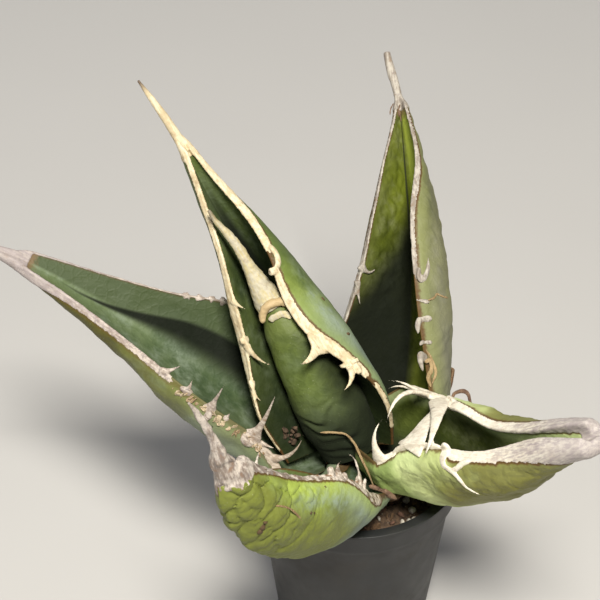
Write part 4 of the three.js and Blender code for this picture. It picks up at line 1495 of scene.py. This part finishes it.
class AGAVE_OT_horns(bpy.types.Operator):
    """Models each leaf's margin bands, teeth, tip and spine as one body of horn"""

    bl_idname = "agave.horns"
    bl_label = "Leaf horn"

    def execute(self, context):
        chosen = {"tall": looks().horn_fresh, "left": looks().horn_worn}
        for name, spec in LEAVES.items():
            horn = make_horn(Leaf(name, spec), looks().horn_voxel)
            colours = dict(HORN_SKINS[name])
            if name in chosen:
                colours["fresh"] = tuple(chosen[name])
            skin = horn_skin(name + "_horn_skin", **colours)
            finish(horn, name + "_leaf_horn", skin, "horn", "leaf_" + name + "_horn")
        return {"FINISHED"}


def spindle_course():
    return Course(SPINDLE["foot"], SPINDLE["length"], SPINDLE["lift"], SPINDLE["turn"])


def spindle_relief(angle, radius, t):
    """How far the spindle's skin stands out: soft swells, and cross wrinkles low on its viewed side."""
    y = t * SPINDLE["length"]
    facing = smooth(0.5, 0.95, math.cos(angle - 0.35))
    place = Vector((math.cos(angle) * radius, math.sin(angle) * radius, y))
    ripples = math.sin(2 * math.pi * (y / 3.6 + waves(place, (0.9, 6))))
    wrinkles = 0.5 * ripples * (0.5 + waves(place, (1, 5))) * smooth(0.48, 0.3, t) * facing
    return wrinkles + waves(place, (0.5, 6), (0.07, 2)) - 0.3


class AGAVE_OT_spindle(bpy.types.Operator):
    """Models the rolled young leaf in the middle"""

    bl_idname = "agave.spindle"
    bl_label = "Spindle"

    def execute(self, context):
        course = spindle_course()
        count = 96
        rows = 130
        rings, shares, painted_shades = [], [], []
        for k in range(rows + 1):
            t = BLADE_END * k / rows
            centre, _, side, normal = course.frame(t)
            radius = along(SPINDLE["radius"], t)
            ring, ring_painted_shades = [], []
            for i in range(count):
                angle = 2 * math.pi * i / count
                way = side * math.cos(angle) + normal * math.sin(angle)
                ring.append(centre + way * (radius + spindle_relief(angle, radius, t)))
                # Painted shadow of the tall leaf's curled right wing on the spindle's right side, and painted
                # shade toward its base; both go into the mark named fold
                wing_shadow = smooth(0.25, 0.95, math.cos(angle - 1.9)) * smooth(0.85, 0.6, t)
                ring_painted_shades.append(max(0.85 * wing_shadow, 0.88 * smooth(0.5, 0.2, t)))
            rings.append(ring)
            painted_shades.append(ring_painted_shades)
            shares.append([t] * count)
        outer = even_marks(rings)
        far = even_marks(rings, 6.0)
        marks = {"upper": outer, "edge": far, "across": far, "fold": painted_shades, "share": shares}
        body = sweep("spindle_body", rings, marks)
        skin = leaf_skin("spindle_skin", **LEAF_SKINS["spindle"])
        finish(body, "spindle_body", skin, "spindle_green", "spindle")
        return {"FINISHED"}


class AGAVE_OT_spindle_cap(bpy.types.Operator):
    """Models the spindle's arched cap of horn and its long spine"""

    bl_idname = "agave.spindle_cap"
    bl_label = "Spindle cap"

    def execute(self, context):
        course = spindle_course()
        spine = SPINDLE["spine"]
        spine_course = Course(course.frame(1)[0], spine["length"], spine["lift"], spine["turn"])
        count = 48
        cone_rows = 5
        spine_rows = 60
        start = SPINDLE["cap_from"]
        rings, marks = [], []
        for k in range(cone_rows):
            t = start + (1 - start) * k / cone_rows
            rings.append(round_ring(course.frame(t), along(SPINDLE["radius"], t) + 0.25 + 0.1 * k, count))
            marks.append([0.0] * count)
        for k in range(spine_rows + 1):
            u = k / spine_rows
            rings.append(round_ring(spine_course.frame(u), along(spine["radius"], u), count))
            marks.append([u] * count)
        pieces = [sweep("cone", rings, {"share": even_marks(rings, 0.9), "point": marks})]
        rows = 60
        for strap in SPINDLE["straps"]:
            shares, turns = zip(*strap["path"])
            places = []
            for k in range(rows + 1):
                t = along(shares, k / rows)
                turn = math.radians(along(turns, k / rows))
                point, _, side, normal = course.frame(t)
                way = side * math.cos(turn) + normal * math.sin(turn)
                places.append((point + way * (along(SPINDLE["radius"], t) + strap["rise"]), way))
            pieces.append(strapped(places, [strap["width"]] * 2, strap["thick"], strap["share"]))
        cap = fused(joined("spindle_cap", pieces), SPINDLE_VOXEL, 2)
        roughen(cap, lambda co: waves(co, (0.12, 0.8), (0.14, 2)))
        skin = horn_skin("spindle_horn_skin", **HORN_SKINS["spindle"])
        finish(cap, "spindle_cap", skin, "horn", "spindle_horn")
        return {"FINISHED"}


def pot_radius(height):
    """The outer radius of the pot's wall below the lip."""
    spread = POT["rim_radius"] - POT["lip_out"] - POT["foot_radius"]
    return POT["foot_radius"] + spread * height / POT["height"]


def drain_holes():
    """One cutter of upright cylinders for the holes in the pot's floor."""
    holes = []
    reach = POT["hole_reach"] * MM
    for k in range(POT["holes"]):
        bearing = 2 * math.pi * (k + 0.5) / POT["holes"]
        deselect()
        bpy.ops.mesh.primitive_cylinder_add(
            vertices=32, radius=POT["hole_radius"] * MM, depth=4 * POT["floor"] * MM,
            location=(reach * math.cos(bearing), reach * math.sin(bearing), 0))
        holes.append(bpy.context.object)
    cutter = joined("holes", holes)
    settle(cutter)
    return cutter


class AGAVE_OT_pot(bpy.types.Operator):
    """Turns the nursery pot, with its lip and drain holes"""

    bl_idname = "agave.pot"
    bl_label = "Pot"

    def execute(self, context):
        top = POT["height"]
        lip = top - POT["lip_height"]
        out = POT["lip_out"]
        rim = POT["rim_radius"]
        bead = top - POT["bead"]
        slope = bead - POT["bead_slope"]
        edge = POT["edge"]
        wall = POT["wall"]
        floor = POT["floor"]
        hub = 4
        profile = [(hub, 0), *POT["foot_groove"], (POT["foot_radius"], 0)]
        profile += [(pot_radius(lip * k / 6), lip * k / 6) for k in range(1, 7)]
        profile += [
            (pot_radius(lip) + out, lip),
            (pot_radius(lip + 1) + out, lip + 1),
            (pot_radius(slope) + out - POT["bead_out"], slope),
            (rim - edge / 2, bead),
            (rim, top - edge),
            (rim - edge, top),
            (pot_radius(top) - wall, top),
            (pot_radius(lip) - wall, lip),
        ]
        profile += [(pot_radius(lip * k / 4 + floor) - wall, lip * k / 4 + floor) for k in (3, 2, 1, 0)]
        profile += [(hub, floor)]
        pot = turned("pot", profile, 128)
        cutter = drain_holes()
        apply(pot, "BOOLEAN", operation="DIFFERENCE", object=cutter, solver="EXACT")
        bpy.data.objects.remove(cutter)
        sharp = math.radians(35)
        apply(pot, "BEVEL", width=POT["round_off"] * MM, segments=2, limit_method="ANGLE", angle_limit=sharp)
        finish(pot, "nursery_pot", pot_plastic(), "pot_plastic", "pot", smooth_angle=35)
        return {"FINISHED"}


class AGAVE_OT_soil(bpy.types.Operator):
    """Fills the pot with gritty soil and strews grit and bark on it"""

    bl_idname = "agave.soil"
    bl_label = "Soil"

    def execute(self, context):
        gap = SOIL["gap"]
        edge_height = SOIL["edge"]
        climb = SOIL["heap"] - edge_height
        bottom = POT["floor"] + gap
        outer = pot_radius(bottom) - POT["wall"] - gap
        edge = pot_radius(edge_height) - POT["wall"] - gap
        hub = STEM["radius"] + gap
        seat = STEM["foot"] - gap
        heap = hub + SOIL["shoulder"]
        rows = 14
        profile = [(2, bottom), (outer - 1, bottom), (outer, bottom + 1), (edge, edge_height)]
        for k in range(1, rows + 1):
            profile.append((edge + (heap - edge) * k / rows, edge_height + climb * k / rows))
        profile += [(heap - 2, SOIL["heap"]), (hub, SOIL["heap"]), (hub, seat), (2, seat)]
        soil = turned("soil", profile, 110)

        def crumb(co):
            if co.z < edge_height - 1 or math.hypot(co.x, co.y) < hub + 0.5:
                return 0
            return 0.5 * wobble(co.x / 1.6, co.y / 1.6, 3) + 0.4 * wobble(co.x / 4, co.y / 4, 8) - 0.25

        roughen(soil, crumb)
        finish(soil, "potting_soil", soil_earth(), "soil", "soil", smooth_angle=50)
        for name, spec in TOP_DRESSING.items():
            material = grit(*spec["colours"])
            grains = []
            for _ in range(spec["number"]):
                radius = random.uniform(heap - 3, edge - 1.5)
                bearing = random.uniform(0, 2 * math.pi)
                rise = (edge - radius) / (edge - heap) * climb
                size = random.uniform(*spec["size"])
                height = edge_height + min(rise, 3) + 0.1 * size
                place = (radius * math.cos(bearing), radius * math.sin(bearing), height)
                grains.append((place, size, spec["flat"]))
            finish(strewn(name, grains, rough=0.25), name, material, "soil", smooth_angle=40)
        return {"FINISHED"}


class AGAVE_OT_stem(bpy.types.Operator):
    """Turns the short scarred stem that carries the leaves"""

    bl_idname = "agave.stem"
    bl_label = "Stem"

    def execute(self, context):
        profile = [(2, STEM["foot"]), (STEM["radius"], STEM["foot"])]
        rows = 24
        for k in range(1, rows + 1):
            height = STEM["foot"] + (STEM["shoulder"] - STEM["foot"]) * k / rows
            scar = STEM["scar"] if k % 4 == 0 else 0
            profile.append((STEM["radius"] - scar, height))
        profile += [(STEM["neck"], STEM["top"]), (2, STEM["top"])]
        stem = turned("stem", profile, 96)
        roughen(stem, lambda co: waves(co, (0.25, (2.5, 2.5, 0.8))) - 0.2)
        finish(stem, "scarred_stem", dead_tissue("stem_bark"), "stem", "stem")
        return {"FINISHED"}


class AGAVE_OT_dry_leaves(bpy.types.Operator):
    """Models the withered scraps of old leaves low in the crown"""

    bl_idname = "agave.dry_leaves"
    bl_label = "Dry leaves"

    def execute(self, context):
        rows = 60
        for name, spec in DRY_LEAVES.items():
            leaf = Leaf(name, spec)
            rings = [blade_ring(leaf, Section(leaf, BLADE_END * k / rows), 16)[0] for k in range(rows + 1)]
            finish(sweep(name, rings), name + "_scrap", dead_tissue(name + "_tissue"), "dry_leaf", name)
        return {"FINISHED"}


def strands(name, lines, tissue):
    """One piece of dry strands, each a strap along its line."""
    way = Vector(STRAND_FACING).normalized()
    pieces = []
    for width, points in lines:
        rows = 10 * (len(points) - 1)
        places = []
        for k in range(rows + 1):
            place = Vector([along(values, k / rows) for values in zip(*points)])
            places.append((place, way))
        pieces.append(strapped(places, [width, width * 0.8, width, width * 0.6], width * 0.6, 0))
    piece = joined(name, pieces)
    roughen(piece, lambda co: waves(co, (0.1, 0.8)))
    finish(piece, name, tissue, "dry_leaf")


def margin_flakes():
    """Places, sizes and flatness of the flakes that cling under a leaf's left margin."""
    spec = MARGIN_FLAKES
    leaf = Leaf(spec["leaf"], LEAVES[spec["leaf"]])
    flakes = []
    for _ in range(spec["number"]):
        section = Section(leaf, random.uniform(spec["from"], spec["to"]))
        inset = random.uniform(0, spec["inset"])
        place, way = section.lower(1 - inset / section.half[1])
        place = place + way * random.uniform(*spec["lift"])
        flakes.append((place, random.uniform(*spec["size"]), spec["flat"]))
    return flakes


def axil_grains():
    """Places, sizes and flatness of the grains that lie in the middle of the rosette."""
    spec = AXIL_GRAINS
    grains = []
    for _ in range(spec["number"]):
        place = [m + random.uniform(-1, 1) * s for m, s in zip(spec["middle"], spec["spread"])]
        grains.append((place, random.uniform(*spec["size"]), spec["flat"]))
    return grains


class AGAVE_OT_remnants(bpy.types.Operator):
    """Adds the straws, scraps, flakes, scars and grains that cling to the plant"""

    bl_idname = "agave.remnants"
    bl_label = "Straws, flakes and scars"

    def execute(self, context):
        straw, scrap, scar, flake = (dead_tissue(kind, kind) for kind in ("straw", "scrap", "scar", "flake"))
        strands("dry_straws", STRAWS, straw)
        strands("dry_scraps", SCRAPS, scrap)
        spots = strewn("scars", [(place, size, SPOT_FLATNESS) for place, size in SPOTS], rough=0.3)
        finish(spots, "dark_scars", scar, "dry_leaf")
        flakes = strewn("flakes", margin_flakes(), rough=0.3)
        finish(flakes, "margin_flakes", flake, "dry_leaf", smooth_angle=40)
        grains = strewn("grains", axil_grains(), rough=0.4)
        finish(grains, "axil_grains", grit(*AXIL_GRAINS["colours"]), "soil", smooth_angle=40)
        return {"FINISHED"}


def aim(obj, place, target):
    """Puts a light or the camera at a place and turns it toward a target, both in millimetres."""
    obj.location = Vector(place) * MM
    obj.rotation_mode = "QUATERNION"
    obj.rotation_quaternion = (Vector(target) * MM - obj.location).to_track_quat("-Z", "Y")


class AGAVE_OT_stage(bpy.types.Operator):
    """Lays the pale floor, hangs the lights and sets the camera"""

    bl_idname = "agave.stage"
    bl_label = "Floor, lights and camera"

    def execute(self, context):
        deselect()
        bpy.ops.mesh.primitive_plane_add(size=FLOOR_SIZE * MM, location=(0, 0, 0))
        floor = bpy.context.object
        floor.name = "floor"
        paper = Shader("floor_paper", Roughness=0.9)
        paper.feed("Base Color", paper.mix(paper.grain(0.01, 2), *FLOOR_GREYS))
        floor.data.materials.append(paper.material)
        for name, spec in LIGHTS.items():
            bpy.ops.object.light_add(type="AREA")
            light = bpy.context.object
            light.name = name
            light.data.size = spec["size"] * MM
            light.data.energy = looks().light_power * spec["share"]
            light.data.color = spec["colour"]
            aim(light, spec["place"], LIGHTS_AIM)
        context.scene.view_settings.view_transform = "Standard"
        world = bpy.data.worlds.new("room")
        world.use_nodes = True
        for key, value in ROOM.items():
            world.node_tree.nodes["Background"].inputs[key].default_value = value
        context.scene.world = world
        data = bpy.data.cameras.new("camera")
        data.lens = CAMERA["lens"]
        data.sensor_width = CAMERA["sensor"]
        data.clip_start = CAMERA["near"] * MM
        camera = bpy.data.objects.new("camera", data)
        context.scene.collection.objects.link(camera)
        aim(camera, CAMERA["place"], CAMERA["aim"])
        context.scene.camera = camera
        return {"FINISHED"}


class AGAVE_PT_panel(bpy.types.Panel):
    """Lists the plant's pieces and its looks"""

    bl_label = "Agave"
    bl_idname = "AGAVE_PT_panel"
    bl_space_type = "VIEW_3D"
    bl_region_type = "UI"
    bl_category = "Agave"

    def draw(self, context):
        for name in AgaveLooks.__annotations__:
            self.layout.prop(context.scene.agave_looks, name)
        for operator in OPERATORS:
            self.layout.operator(operator.bl_idname)


OPERATORS = (
    AGAVE_OT_stage, AGAVE_OT_pot, AGAVE_OT_soil, AGAVE_OT_stem, AGAVE_OT_leaves, AGAVE_OT_horns,
    AGAVE_OT_spindle, AGAVE_OT_spindle_cap, AGAVE_OT_dry_leaves, AGAVE_OT_remnants,
)
CLASSES = (AgaveLooks, *OPERATORS, AGAVE_PT_panel)


def register():
    for cls in CLASSES:
        bpy.utils.register_class(cls)
    bpy.types.Scene.agave_looks = PointerProperty(type=AgaveLooks)


def unregister():
    del bpy.types.Scene.agave_looks
    for cls in reversed(CLASSES):
        bpy.utils.unregister_class(cls)


def main():
    register()
    random.seed(SEED)
    bpy.ops.agave.stage()
    bpy.ops.agave.pot()
    bpy.ops.agave.soil()
    bpy.ops.agave.stem()
    bpy.ops.agave.leaves()
    bpy.ops.agave.horns()
    bpy.ops.agave.spindle()
    bpy.ops.agave.spindle_cap()
    bpy.ops.agave.dry_leaves()
    bpy.ops.agave.remnants()


if __name__ == "__main__":
    main()
